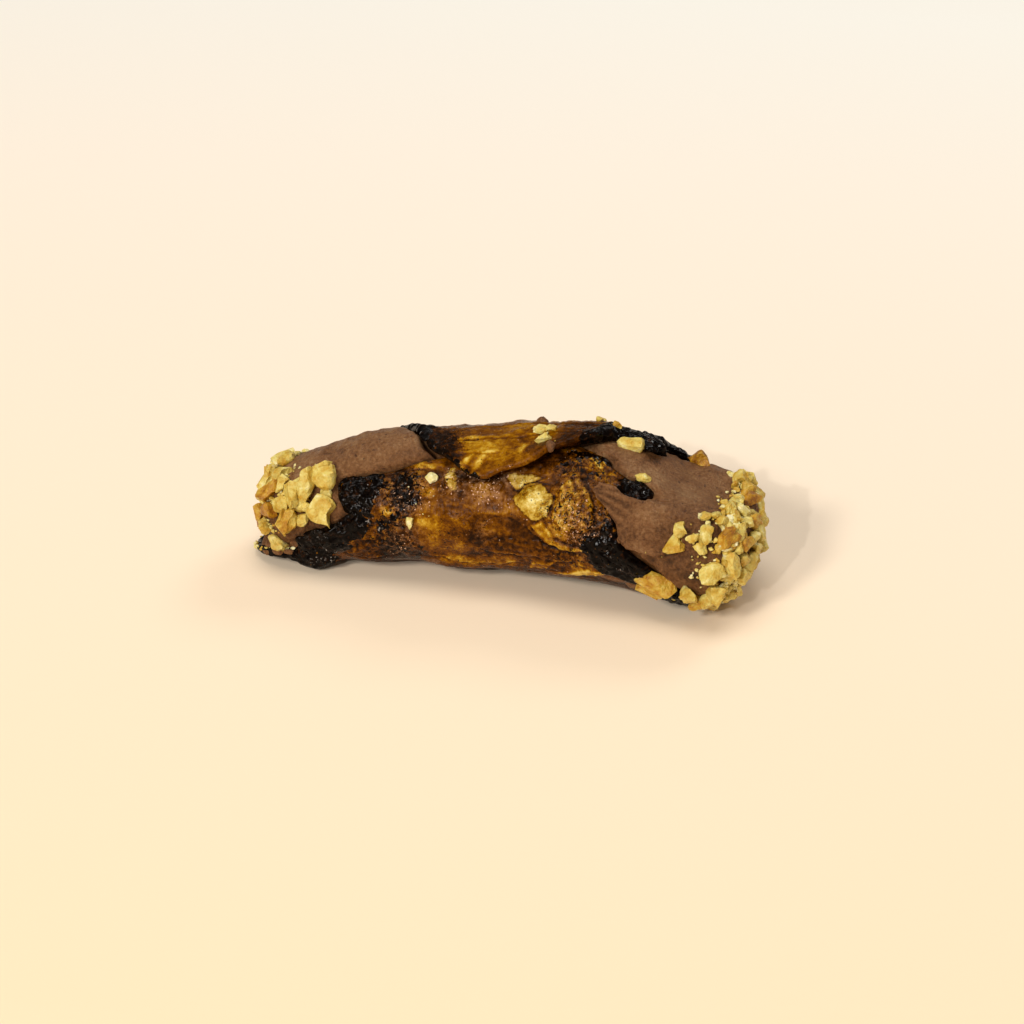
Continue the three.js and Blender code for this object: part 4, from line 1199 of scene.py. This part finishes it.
# Colour of the cream: + lighter, - darker, as the crust's patches are given.
CREAM_TONES = [
    (36, 182, 1.6, 3.0, 10, -0.3), (33.5, 172, 1.0, 3.0, -20, -0.25), (27, 163, 3, 1.6, -40, -0.25),
    (-47, 170, 2.5, 1.4, 20, -0.12), (-43, 166, 1.2, 2.0, 0, -0.16), (39, 121, 5, 2.6, 0, 0.14),
    (36, 96, 3, 2, 0, 0.14), (51, 76, 5, 1.6, -10, -0.35), (46, 92, 8, 3, 0, -0.06),
    (-37, 150, 9, 4, 0, 0.08), (38, 152, 10, 7, 0, 0.17), (-49, 105, 5, 2, 0, -0.1),
]


def build_cream():
    """The cream from end to end, closed at both."""
    shares = cream_shares()
    angles = np.arange(CREAM_SIDES) * 360 / CREAM_SIDES
    share, angle = np.meshgrid(shares, angles, indexing="ij")
    x = cream_x(share)
    plain = on_roll(x, angle, cream_radius(x, angle, gap=0.25, seen=True))
    wrapped = np.concatenate([plain[:, -1:], plain, plain[:, :1]], axis=1)
    outward = -outward_of(wrapped)[:, 1:-1]
    relief, strokes, pits = cream_relief(x, angle, plain)
    shown = np.maximum(smooth(-1.5, 1.5, bare_distance(x, angle)), tongue_share(x, angle))
    surface = plain + outward * (relief * shown * clear_of_table(angle))[..., None]
    rows = len(shares)
    poles = on_roll(cream_x(np.array([-1, 1])), 0, 0)
    points = np.concatenate([surface.reshape(-1, 3), poles])
    points[:, 2] = np.maximum(points[:, 2], 0.3)
    left_pole, right_pole = rows * CREAM_SIDES, rows * CREAM_SIDES + 1

    def at(i, k):
        return i * CREAM_SIDES + k

    faces = [tuple(reversed(f)) for f in quads(at, rows, CREAM_SIDES, wrap=True)]
    for k in range(CREAM_SIDES):
        after = (k + 1) % CREAM_SIDES
        faces.append((left_pole, at(0, k), at(0, after)))
        faces.append((right_pole, at(rows - 1, after), at(rows - 1, k)))
    # Painted shade: the cream is painted darker in its pits.
    tone = CREAM_TONE + patches(CREAM_TONES, x, turn(0, angle - 100) + 100) + 0.2 * strokes - 0.9 * pits
    # Painted light: the cream is painted lighter on top, where light falls from above.
    tone += 0.16 * top_share(115, 170, angle)
    tone += 0.08 * unevenness(plain, 8, 137) + 0.1 * unevenness(plain, 2.6, 139)
    cream = new_piece("chocolate_cream_filling", points, faces, CREAM_FINISH)
    paint(cream, tone=np.concatenate([tone.ravel(), [CREAM_TONE, CREAM_TONE]]))
    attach(cream, "root")
    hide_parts("filling")


# ---- Smears and lumps on the dough ---------------------------------------------------------------
def smear(places, seed, lumpy, inside=False):
    """Points and faces of closed blobs lying on the dough, or inside it. Each is x, angle, half length,
    half width, the way it points and its height."""
    way, sunk = (-1, DOUGH) if inside else (1, 0)
    rings, sides = 18, 64
    points, faces = [], []
    for index, (at_x, at_angle, half_length, half_width, pointing, height) in enumerate(places):
        around = np.arange(sides) * 2 * np.pi / sides
        out = np.sin(np.linspace(0, 1, rings + 1)[1:] * np.pi / 2)
        flat = np.stack([np.cos(around), np.sin(around), np.full(sides, index * 5.0)], axis=-1)
        wobble = 1 + 0.28 * unevenness(flat, 0.9, seed) + 0.12 * unevenness(flat, 0.4, seed + 1)
        u = out[:, None] * wobble * np.cos(around) * half_length
        v = out[:, None] * wobble * np.sin(around) * half_width
        c, s = math.cos(math.radians(pointing)), math.sin(math.radians(pointing))
        x, angle = at_x + u * c - v * s, at_angle + np.degrees((u * s + v * c) / MID_RADIUS)
        surface = (dough_middle(x, angle) if inside else dough_outside(x, angle)) - sunk
        plain = on_roll(x, angle, surface)
        dome = np.sqrt(np.clip(1 - out**2, 0, 1))[:, None]
        folds = 1 - 2 * np.abs(unevenness(plain, 2.6, seed + 3))
        folds += 0.8 * np.maximum(bubbles(plain, 1.7, seed + 4) - 0.2, 0)
        rough = folds + 0.6 * roughness_of(plain, 2.2, seed + 2, 3)
        rise = height * dome * (1 + lumpy * rough) - 0.45 * (1 - dome)
        top = on_roll(x, angle, surface + way * rise)
        base_radius = dough_outside(at_x, at_angle) - sunk
        peak = on_roll(at_x, at_angle, base_radius + way * height)
        under = on_roll(at_x, at_angle, base_radius - way * 1.0)
        base, first_face = len(points), len(faces)
        points += [tuple(peak), *map(tuple, top.reshape(-1, 3)), tuple(under)]
        first, last = base + 1, base + 1 + (rings - 1) * sides
        for k in range(sides):
            after = (k + 1) % sides
            faces.append((base, first + k, first + after))
            faces.append((base + 1 + rings * sides, last + after, last + k))
            for i in range(rings - 1):
                inner_ring, outer_ring = first + i * sides, first + (i + 1) * sides
                faces.append((inner_ring + k, outer_ring + k, outer_ring + after, inner_ring + after))
        if not inside:
            faces[first_face:] = [tuple(reversed(face)) for face in faces[first_face:]]
    return points, faces


# Chocolate set thick on the dough, as x, angle, half length, half width, way and height.
CHOCOLATE_LUMPS = [
    (-38.0, 122, 3.4, 5.6, 8, 0.6), (-34.0, 110, 2.2, 6.0, 12, 0.6), (-38.6, 91, 5.0, 2.6, 35, 0.5),
    (-46, 75, 4.4, 3.4, 30, 0.5), (-48.5, 63, 3.0, 4.4, 20, 0.5), (-42, 66, 4.5, 2.2, 10, 0.5),
    (-33.5, 131, 3.6, 2.6, -15, 0.5), (33.6, 140, 3.6, 2.6, -12, 0.6),
    (35.5, 72, 5.2, 2.2, -38, 0.5), (29.5, 83, 3.0, 2.0, -50, 0.4), (42.5, 57, 3.0, 3.4, 20, 0.5),
    (27.6, 100, 2, 3, 0, 0.3), (-57, -30, 4.0, 4.5, -20, 0.6), (-50, -60, 4.0, 5.5, -30, 0.6),
    (-44, -88, 4.5, 4.0, -35, 0.6), (-35, -125, 5.0, 3.5, -30, 0.5), (48.5, -20, 3.0, 6.0, 0, 0.5),
    (48.5, -62, 3.4, 5.0, 5, 0.6), (44.5, -98, 3.6, 4.6, 15, 0.6), (38, -128, 3.4, 4.4, 25, 0.5),
    (33.5, -160, 3.4, 4.6, 20, 0.4), (-22.5, -176, 1.8, 5, 12, 0.4),
]
# Cream smeared on the dough, in the same way, and then in the lower left lip.
CREAM_SMEARS = [
    (30.0, 91.5, 0.9, 1.9, -22, 0.45), (28.0, 50, 4.5, 3.0, 20, 0.5), (33.5, 44, 3.0, 2.0, 10, 0.4),
    (-18, 47, 3.5, 1.2, 10, 0.3), (11.2, -204, 1.3, 1.6, 30, 0.8), (6, -160, 1.6, 1.2, 0, 0.8),
    (-57.2, 42, 2.0, 1.8, 25, 0.45), (-54.4, 50, 1.8, 1.3, 25, 0.4), (-60.6, 34, 1.6, 1.8, 20, 0.4),
]
LIP_CREAM = [
    (-61.3, -8, 2.6, 5.5, 0, 2.4), (-61.2, 13, 2.8, 5.5, 0, 2.4), (-59.3, 30, 2.8, 4.5, 12, 2.2),
    (-55.8, 43, 2.8, 3.6, 22, 1.8), (-52.4, 54, 2.2, 3.0, 20, 1.2), (-58, 20, 3, 5, 0, 2.6),
]


def build_smears():
    """Lumps of chocolate as one piece, and smears of cream as another."""
    for name, places, seed, lumpy, finish, slot in (
        ("dark_chocolate_lumps", CHOCOLATE_LUMPS, 151, 0.8, CHOCOLATE_FINISH, "dark_chocolate"),
        ("cream_smears", CREAM_SMEARS, 163, 0.5, CREAM_FINISH, "chocolate_cream"),
    ):
        points, faces = smear(places, seed, lumpy)
        if slot == "chocolate_cream":
            more_points, more_faces = smear(LIP_CREAM, seed, lumpy, inside=True)
            faces += [tuple(n + len(points) for n in face) for face in more_faces]
            points += more_points
        piece = new_piece(name, points, faces, finish)
        paint(piece, tone=np.full(len(points), SMEAR_TONE))
        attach(piece, "root")


# ---- The nuts ------------------------------------------------------------------------------------
# x, angle, length, width as a share of it, and the way it points, of each nut placed one by one.
CREAM_NUTS = [
    (-45.5, 136, 6.8, 0.85, 15), (-49.5, 129, 8, 0.45, 80), (-53.3, 121, 7.4, 0.6, 85),
    (-45.2, 101, 7.8, 0.92, 40), (-50.3, 109, 4.9, 0.65, 0), (-55.5, 107, 4.4, 0.9, 60),
    (-56.5, 128, 4.4, 0.7, 80), (-58.6, 117, 5.6, 0.65, 80), (-58.4, 98, 5.4, 0.85, 60),
    (-54, 92, 6.6, 0.7, 80), (-50.3, 95, 3.4, 0.8, 70), (-57.6, 150, 3.0, 0.8, 60),
    (-57, 141, 5.6, 0.45, 50), (-44.5, 121, 2.6, 0.9, 0), (41.6, 69, 9.2, 0.6, 170),
    (48.6, 62, 5.4, 0.75, 100), (44.6, 104, 4.5, 0.98, 0), (46, 113, 4.3, 0.75, 80),
    (52, 110, 4.4, 0.65, 75), (51, 124.5, 2.8, 0.9, 0), (53.4, 126, 2.6, 0.8, 30),
    (49.3, 108, 2.9, 0.7, 40), (51.2, 101, 3.2, 0.8, 150), (57.2, 104, 5.2, 0.95, 30),
    (56, 138, 3.8, 0.8, 60), (54.6, 147, 2.9, 0.7, 90), (45.4, 226, 5.4, 0.7, 0),
    (29.5, 184, 6, 0.55, 0), (34.6, 150, 3.6, 0.75, 10), (54, 82, 5.6, 0.8, 20),
    (58, 84, 5.2, 0.8, 100), (55, 64, 5.6, 0.8, 90), (53.5, 54, 5, 0.7, 10),
]
DOUGH_NUTS = [
    (7, -183, 2.9, 0.9, 0), (9.8, -182, 2.9, 0.9, 60), (8.8, -195, 3.6, 0.7, 20),
    (25, -165, 3.4, 0.7, 90), (20.5, -155, 2.4, 0.8, 0), (-18, 131.5, 2.9, 0.85, 0),
    (-22.2, 93.5, 2.8, 0.62, 85),
]
# The seed, number of tries, lengths, spacing and inner limit (angle, x) of the nuts strewn over each end.
STREWN = {
    -1: (11, 900, (3.6, 6.4), 0.8, [
        (0, -56), (60, -56), (80, -53), (86, -50), (93, -43), (108, -43), (112, -47.5), (122, -47.5),
        (127, -43), (141, -43), (146, -54), (150, -57), (180, -58), (270, -57), (360, -56),
    ]),
    1: (23, 1500, (3.2, 5.4), 0.78, [
        (0, 54), (40, 50.5), (60, 51), (75, 53), (88, 54), (100, 57), (112, 56), (125, 54), (150, 54.5),
        (180, 56), (220, 56), (300, 55), (360, 54),
    ]),
}
NUT_CORNERS, NUT_FLAT, NUT_NARROW, NUT_TILT, NUT_STAND = 9, (0.5, 0.75), (0.62, 0.95), 20, 0.27
NUT_KINDS, CRUMB_KINDS, NUT_BITES = 9, 5, 2
# Of the nuts on the cream listed one by one, by number: how far some lie above it, at the dough's edge,
# in millimetres, and how much darker some are, toasted to orange, or lighter.
LIFTED = {14: 2.0, 15: 0.6}
TOASTED = {
    7: -0.3, 8: -0.42, 9: -0.12, 11: -0.2, 14: -0.14, 15: 0.05, 16: -0.06, 23: -0.3, 25: -0.2, 26: -0.36,
}
PLAIN_NUT = 0.08  # how much lighter the rest are
DOUGH_NUT_TONES = [0.66, 0.6, 0.7, 0.3, 0.5, 0.85, 0.8]
STREWN_FROM_X, STREWN_TO_SHARE = 45, 0.99  # where the nuts strewn over an end may fall
CUT_DEPTHS, BITE_DEPTHS = (0.42, 0.78), (0.45, 0.7)  # from the middle of a chunk one unit in radius
NUT_SWELL = (1.2, 1.2, 1.25)  # chunks are this much larger than the nuts, as cutting takes some off
CRUMB_SHAPE, CRUMB_STAND = (1, 0.8, 0.7), 0.25
SHARP_ANGLE = 38


def surface_frame(surface, a, b, step_a, step_b):
    """The place on a surface given by two numbers, with its directions along, round and outward."""
    along = surface(a + step_a, b) - surface(a - step_a, b)
    round_ = surface(a, b + step_b) - surface(a, b - step_b)
    along /= np.linalg.norm(along)
    outward = np.cross(along, round_)
    outward /= np.linalg.norm(outward)
    return surface(a, b), along, np.cross(outward, along), outward


def cream_frame(x, angle):
    return surface_frame(cream_point, cream_share(x), angle, 0.01, 2)


def dough_frame(x, angle):
    return surface_frame(lambda a, b: on_roll(a, b, dough_outside(a, b)), x, angle, 0.3, 2)


def lip_frame(x, angle):
    """The same for the inside of the lower left lip, with x from the edge of the dough."""

    def inner(a, b):
        return on_roll(through(LEFT_EDGE, b) + a, b, dough_middle(through(LEFT_EDGE, b) + a, b) - LIP_DEPTH)

    return surface_frame(inner, x, angle, 0.3, 2)


def strewn(side, taken):
    """Nuts thrown at random over one end of the cream, each kept only if it lies clear of those before
    it."""
    seed, tries, lengths, apart, limit = STREWN[side]
    draw = random_from(seed)
    tried = []
    for _ in range(tries):
        x = float(cream_x(side * mix(float(cream_share(STREWN_FROM_X)), STREWN_TO_SHARE, draw())))
        tried.append((x, 360 * draw(), mix(*lengths, draw()), mix(*NUT_NARROW, draw()), 360 * draw()))
    x, angle, length = (np.array(v) for v in list(zip(*tried))[:3])
    place = cream_point(cream_share(x), angle)
    possible = (side * (x - through(limit, angle)) > 0) & (bare_distance(x, angle) > length * 0.35)
    possible &= place[:, 2] > length * 0.5
    others = [(cream_point(cream_share(n[0]), n[1]), n[2]) for n in taken]
    kept = []
    for i in np.flatnonzero(possible):
        if all(np.linalg.norm(spot - place[i]) > apart * (length[i] + size) / 2 for spot, size in others):
            others.append((place[i], length[i]))
            kept.append(tried[i])
    return kept


def cut_lump(name, seed, finer, cuts):
    """A chunk of nut one unit long: a round form with flat faces and hollow bites chopped off it."""
    draw = random_from(seed)
    shape = bmesh.new()
    bmesh.ops.create_icosphere(shape, subdivisions=finer, radius=1)
    points = np.array([v.co for v in shape.verts])
    wobble = 0.36 * unevenness(points, 0.8, seed) + 0.12 * unevenness(points, 0.35, seed + 9)
    points *= 1 + wobble[:, None]
    for index in range(cuts + NUT_BITES):
        height, round_ = 2 * draw() - 1, 2 * math.pi * draw()
        reach = math.sqrt(1 - height * height)
        normal = np.array([reach * math.cos(round_), reach * math.sin(round_), height])
        depth = draw()
        if index < cuts:
            over = points @ normal - mix(*CUT_DEPTHS, depth)
            points -= np.maximum(over, 0)[:, None] * normal * 0.94
        else:
            bite = points - normal * 1.12
            far = np.linalg.norm(bite, axis=1, keepdims=True)
            points += bite / far * np.maximum(mix(*BITE_DEPTHS, depth) - far, 0)
    points += 0.075 * np.stack([unevenness(points, 0.42, seed + k) for k in range(3)], axis=-1)
    low, high = points.min(0), points.max(0)
    points = (points - (low + high) / 2) / (high - low)
    for vertex, place in zip(shape.verts, points):
        vertex.co = place
    mesh = bpy.data.meshes.new(name)
    shape.to_mesh(mesh)
    shape.free()
    mesh.shade_smooth()
    return bpy.data.objects.new(name, mesh)


def nut_tree():
    """Puts a chunk of the numbered kind on every point, turned and sized as the point says."""
    tree = bpy.data.node_groups.new("chunks_on_points", "GeometryNodeTree")
    tree.is_modifier = True
    for name, kind in (
        ("Points", "NodeSocketGeometry"), ("Kinds", "NodeSocketCollection"), ("Size", "NodeSocketFloat"),
        ("Finish", "NodeSocketMaterial"),
    ):
        tree.interface.new_socket(name, in_out="INPUT", socket_type=kind)
    tree.interface.new_socket("Chunks", in_out="OUTPUT", socket_type="NodeSocketGeometry")
    given = add(tree, "NodeGroupInput").outputs
    kind = add(tree, "GeometryNodeInputNamedAttribute", {"Name": "kind"}, data_type="INT")
    turned = add(tree, "GeometryNodeInputNamedAttribute", {"Name": "turned"}, data_type="FLOAT_VECTOR")
    sized = add(tree, "GeometryNodeInputNamedAttribute", {"Name": "sized"}, data_type="FLOAT_VECTOR")
    rotation = add(tree, "FunctionNodeEulerToRotation", {0: turned.outputs["Attribute"]})
    scale = add(
        tree, "ShaderNodeVectorMath",
        {0: sized.outputs["Attribute"], "Scale": given["Size"]}, operation="SCALE",
    )
    chunks = add(
        tree, "GeometryNodeCollectionInfo",
        {"Collection": given["Kinds"], "Separate Children": True, "Reset Children": True},
    )
    strew = add(
        tree, "GeometryNodeInstanceOnPoints",
        {
            "Points": given["Points"], "Instance": chunks.outputs[0], "Pick Instance": True,
            "Instance Index": kind.outputs["Attribute"], "Rotation": rotation.outputs[0],
            "Scale": scale.outputs[0],
        },
    )
    real = add(tree, "GeometryNodeRealizeInstances", {"Geometry": strew.outputs[0]})
    finished = add(
        tree, "GeometryNodeSetMaterial", {"Geometry": real.outputs[0], "Material": given["Finish"]},
    )
    add(tree, "NodeGroupOutput", {0: finished.outputs[0]})
    return tree


def strew_chunks(name, tree, kinds, chunks):
    """One piece of many chunks, each (place, rotation matrix, size along its axes, tone), with places
    and sizes in millimetres."""
    mesh = bpy.data.meshes.new(name + "_points")
    mesh.from_pydata([tuple(c[0] * MM) for c in chunks], [], [])
    count = len(kinds.objects)
    values = {
        "turned": ("FLOAT_VECTOR", "vector", [x for c in chunks for x in Matrix(c[1].tolist()).to_euler()]),
        "sized": ("FLOAT_VECTOR", "vector", [x * MM for c in chunks for x in c[2]]),
        "tone": ("FLOAT", "value", [c[3] for c in chunks]),
        "kind": ("INT", "value", [i % count for i in range(len(chunks))]),
    }
    for key, (kind, field, numbers) in values.items():
        mesh.attributes.new(key, kind, "POINT").data.foreach_set(field, numbers)
    points = bpy.data.objects.new(name + "_points", mesh)
    bpy.context.scene.collection.objects.link(points)
    modifier = points.modifiers.new("chunks", "NODES")
    modifier.node_group = tree
    settings = {"Kinds": kinds, "Size": 1.0, "Finish": NUT_FINISH}
    for item in tree.interface.items_tree:
        if item.in_out == "INPUT" and item.name in settings:
            modifier[item.identifier] = settings[item.name]
    bpy.context.view_layer.update()
    made = points.evaluated_get(bpy.context.evaluated_depsgraph_get())
    piece = bpy.data.objects.new(name, bpy.data.meshes.new_from_object(made))
    bpy.context.scene.collection.objects.link(piece)
    points.modifiers.remove(modifier)
    bpy.data.objects.remove(points)
    piece.data.shade_smooth()
    piece.data.set_sharp_from_angle(angle=math.radians(SHARP_ANGLE))
    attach(piece, "root")


def about(axis, degrees):
    """The matrix of a turn about one axis."""
    return np.array(Matrix.Rotation(math.radians(degrees), 3, axis))


def nut_chunks(nuts, frame_of, draw, tones, lifted=None):
    """Chunks for the nuts, shaped and tilted by the same draws as the part's own, with a tone for each."""
    chunks = []
    for i, ((x, angle, length, narrow, pointing), tone) in enumerate(zip(nuts, tones)):
        for _ in range(2 * NUT_CORNERS):
            draw()
        thick = length * mix(*NUT_FLAT, draw())
        draw()
        tilt_x, tilt_y = NUT_TILT * (2 * draw() - 1), NUT_TILT * (2 * draw() - 1)
        place, along, round_, outward = frame_of(x, angle)
        lie = np.stack([along, round_, outward], axis=1)
        turned = lie @ about("Y", tilt_y) @ about("X", tilt_x) @ about("Z", pointing)
        middle = place + outward * (thick * NUT_STAND + (lifted or {}).get(i, 0))
        size = [side * swell for side, swell in zip((length, length * narrow, thick), NUT_SWELL)]
        chunks.append((middle, turned, size, tone))
    return chunks


# Crumbs of nut and crust: how many, the x and angle they lie round, how widely, and their sizes.
CRUMB_DRIFTS = [
    (26, (-52, 5), (112, 16), (0.5, 1.5)), (14, (-54, 5), (150, 10), (0.4, 1.1)),
    (16, (-58, 3), (72, 10), (0.5, 1.4)), (40, (-57, 3), (112, 28), (1.0, 2.4)),
    (46, (53, 5), (110, 20), (0.5, 1.7)), (20, (52, 5), (80, 12), (0.4, 1.2)),
    (10, (44, 5), (105, 14), (0.3, 0.8)), (14, (55, 3), (150, 14), (0.4, 1.2)),
    (90, (57.5, 2.6), (108, 34), (1.2, 2.6)), (60, (57.5, 2.6), (55, 26), (1.2, 2.6)),
    (50, (57, 3), (230, 60), (0.8, 2.2)), (50, (-58, 3), (250, 60), (0.8, 2.2)),
]
DOUGH_CRUMBS = [
    (34, (41, 4), (51, 6), (0.6, 1.8)), (8, (9, 6), (-190, 10), (0.3, 0.8)),
    (8, (-22, 8), (115, 20), (0.3, 0.7)),
]
# The same along the lower left lip, with x from the edge of the dough.
LIP_CRUMBS = [(60, (1.2, 1.6), (22, 26), (0.7, 2.0)), (24, (3.5, 2.0), (20, 22), (0.8, 2.2))]
LIP_DEPTH = 1.4  # how far they lie inside the dough's outer face


def crumb_chunks(drifts, frame_of, draw, fits):
    """Chunks for the crumbs in each drift, of which only those where fits(x, angle) are kept."""
    chunks = []
    for count, (mid_x, spread_x), (mid_angle, spread_angle), sizes in drifts:
        for _ in range(count):
            x = mid_x + spread_x * (draw() + draw() + draw() - 1.5)
            angle = mid_angle + spread_angle * (draw() + draw() + draw() - 1.5)
            size, tone = mix(*sizes, draw() ** 1.6), mix(0.35, 0.95, draw())
            turned = about("X", 360 * draw()) @ about("Z", 360 * draw())
            if fits(x, angle):
                place, _, _, outward = frame_of(x, angle)
                sides = [size * share for share in CRUMB_SHAPE]
                chunks.append((place + outward * size * CRUMB_STAND, turned, sides, tone))
    return chunks


def build_nuts():
    """The nuts on each end, the ones on the dough and the crumbs, as four pieces."""
    tree = nut_tree()
    kinds, crumb_kinds = bpy.data.collections.new("nut_kinds"), bpy.data.collections.new("crumb_kinds")
    for group, count, finer, cuts, first in (
        (kinds, NUT_KINDS, 3, 6, 301),
        (crumb_kinds, CRUMB_KINDS, 2, 5, 401),
    ):
        for k in range(count):
            group.objects.link(cut_lump(f"{group.name}_{k}", first + 7 * k, finer, cuts))
    nuts = list(CREAM_NUTS)
    tones = [0.5 + TOASTED.get(i, PLAIN_NUT) for i in range(len(nuts))]
    tone_of = random_from(77)
    for side in (-1, 1):
        more = strewn(side, nuts)
        nuts += more
        tones += [0.5 + (0.24 * tone_of() if tone_of() > 0.2 else -0.34 * tone_of()) for _ in more]
    chunks = nut_chunks(nuts, cream_frame, random_from(5), tones, LIFTED)
    for name, side in (("nuts_left_end", -1), ("nuts_right_end", 1)):
        strew_chunks(name, tree, kinds, [c for c in chunks if c[0][0] * side > 0])
    on_dough = nut_chunks(DOUGH_NUTS, dough_frame, random_from(7), DOUGH_NUT_TONES)
    strew_chunks("nuts_on_dough", tree, kinds, on_dough)
    draw = random_from(91)
    crumbs = crumb_chunks(
        CRUMB_DRIFTS, cream_frame, draw, lambda x, angle: abs(x) < 61.5 and bare_distance(x, angle) > 0.3
    )
    crumbs += crumb_chunks(DOUGH_CRUMBS, dough_frame, draw, lambda x, angle: True)
    crumbs += crumb_chunks(LIP_CRUMBS, lip_frame, draw, lambda x, angle: x > -0.4)
    strew_chunks("nut_crumbs", tree, crumb_kinds, crumbs)
    for group in (kinds, crumb_kinds):
        for lump in list(group.objects):
            bpy.data.objects.remove(lump)
        bpy.data.collections.remove(group)


# ---- Floor, light and camera ---------------------------------------------------------------------
CAMERA_AZIMUTH, CAMERA_ELEVATION, CAMERA_DISTANCE = 12.8, 28.0, 700.0
CAMERA_TARGET = (0.75, 0.0, 17.05)
FRAME_WIDTH = 256.5  # millimetres across the frame at the target
SENSOR_WIDTH = 36.0
FLOOR_HALF = 3000.0
FLOOR_CORNERS = [(-1, -1), (1, -1), (1, 1), (-1, 1)]
ROOM_LIGHT = 0.22
# Name, where from (azimuth, elevation, distance in metres), size in metres, watts, colour.
LIGHTS = [
    ("key_window", (-22, 34, 2.5), 0.45, 30.0, "#fffaf2"),
    ("spark", (-8, 30, 2.5), 0.06, 14.0, "#ffffff"),
    ("ceiling", (0, 84, 2.8), 1.8, 32.0, "#fffaf4"),
    ("back_right", (150, 40, 2.4), 0.9, 11.0, "#ffffff"),
]


def from_angles(azimuth, elevation):
    """The direction towards a place at this azimuth, from the front, and elevation."""
    a, e = math.radians(azimuth), math.radians(elevation)
    return Vector((math.sin(a) * math.cos(e), -math.cos(a) * math.cos(e), math.sin(e)))


def build_stage():
    """The floor, the lamps, the light of the room and the camera."""
    corners = [(FLOOR_HALF * side_x, FLOOR_HALF * side_y, 0) for side_x, side_y in FLOOR_CORNERS]
    floor = new_piece("floor", corners, [(0, 1, 2, 3)], pale_floor())
    target = Vector(CAMERA_TARGET) * MM
    for name, (azimuth, elevation, distance), size, watts, colour in LIGHTS:
        light = bpy.data.lights.new(name, "AREA")
        light.shape, light.size, light.energy, light.color = "DISK", size, watts, linear(colour)[:3]
        lamp = bpy.data.objects.new(name, light)
        way = from_angles(azimuth, elevation)
        lamp.location = target + way * distance
        lamp.rotation_euler = way.to_track_quat("Z", "Y").to_euler()
        bpy.context.scene.collection.objects.link(lamp)
    world = bpy.data.worlds.new("soft_room")
    world.use_nodes = True
    room = world.node_tree.nodes["Background"].inputs
    room["Color"].default_value = linear("#fff8ee")
    room["Strength"].default_value = ROOM_LIGHT
    bpy.context.scene.world = world
    bpy.context.scene.view_settings.view_transform = "Standard"
    camera = bpy.data.cameras.new("camera")
    camera.sensor_width = SENSOR_WIDTH
    camera.lens = camera.sensor_width * CAMERA_DISTANCE / FRAME_WIDTH
    camera.clip_start, camera.clip_end = 0.05, 20.0
    eye = bpy.data.objects.new("camera", camera)
    way = from_angles(CAMERA_AZIMUTH, CAMERA_ELEVATION)
    eye.location = target + way * CAMERA_DISTANCE * MM
    eye.rotation_euler = way.to_track_quat("Z", "Y").to_euler()
    bpy.context.scene.collection.objects.link(eye)
    bpy.context.scene.camera = eye


build_shell()
build_cream()
build_smears()
build_nuts()
build_stage()
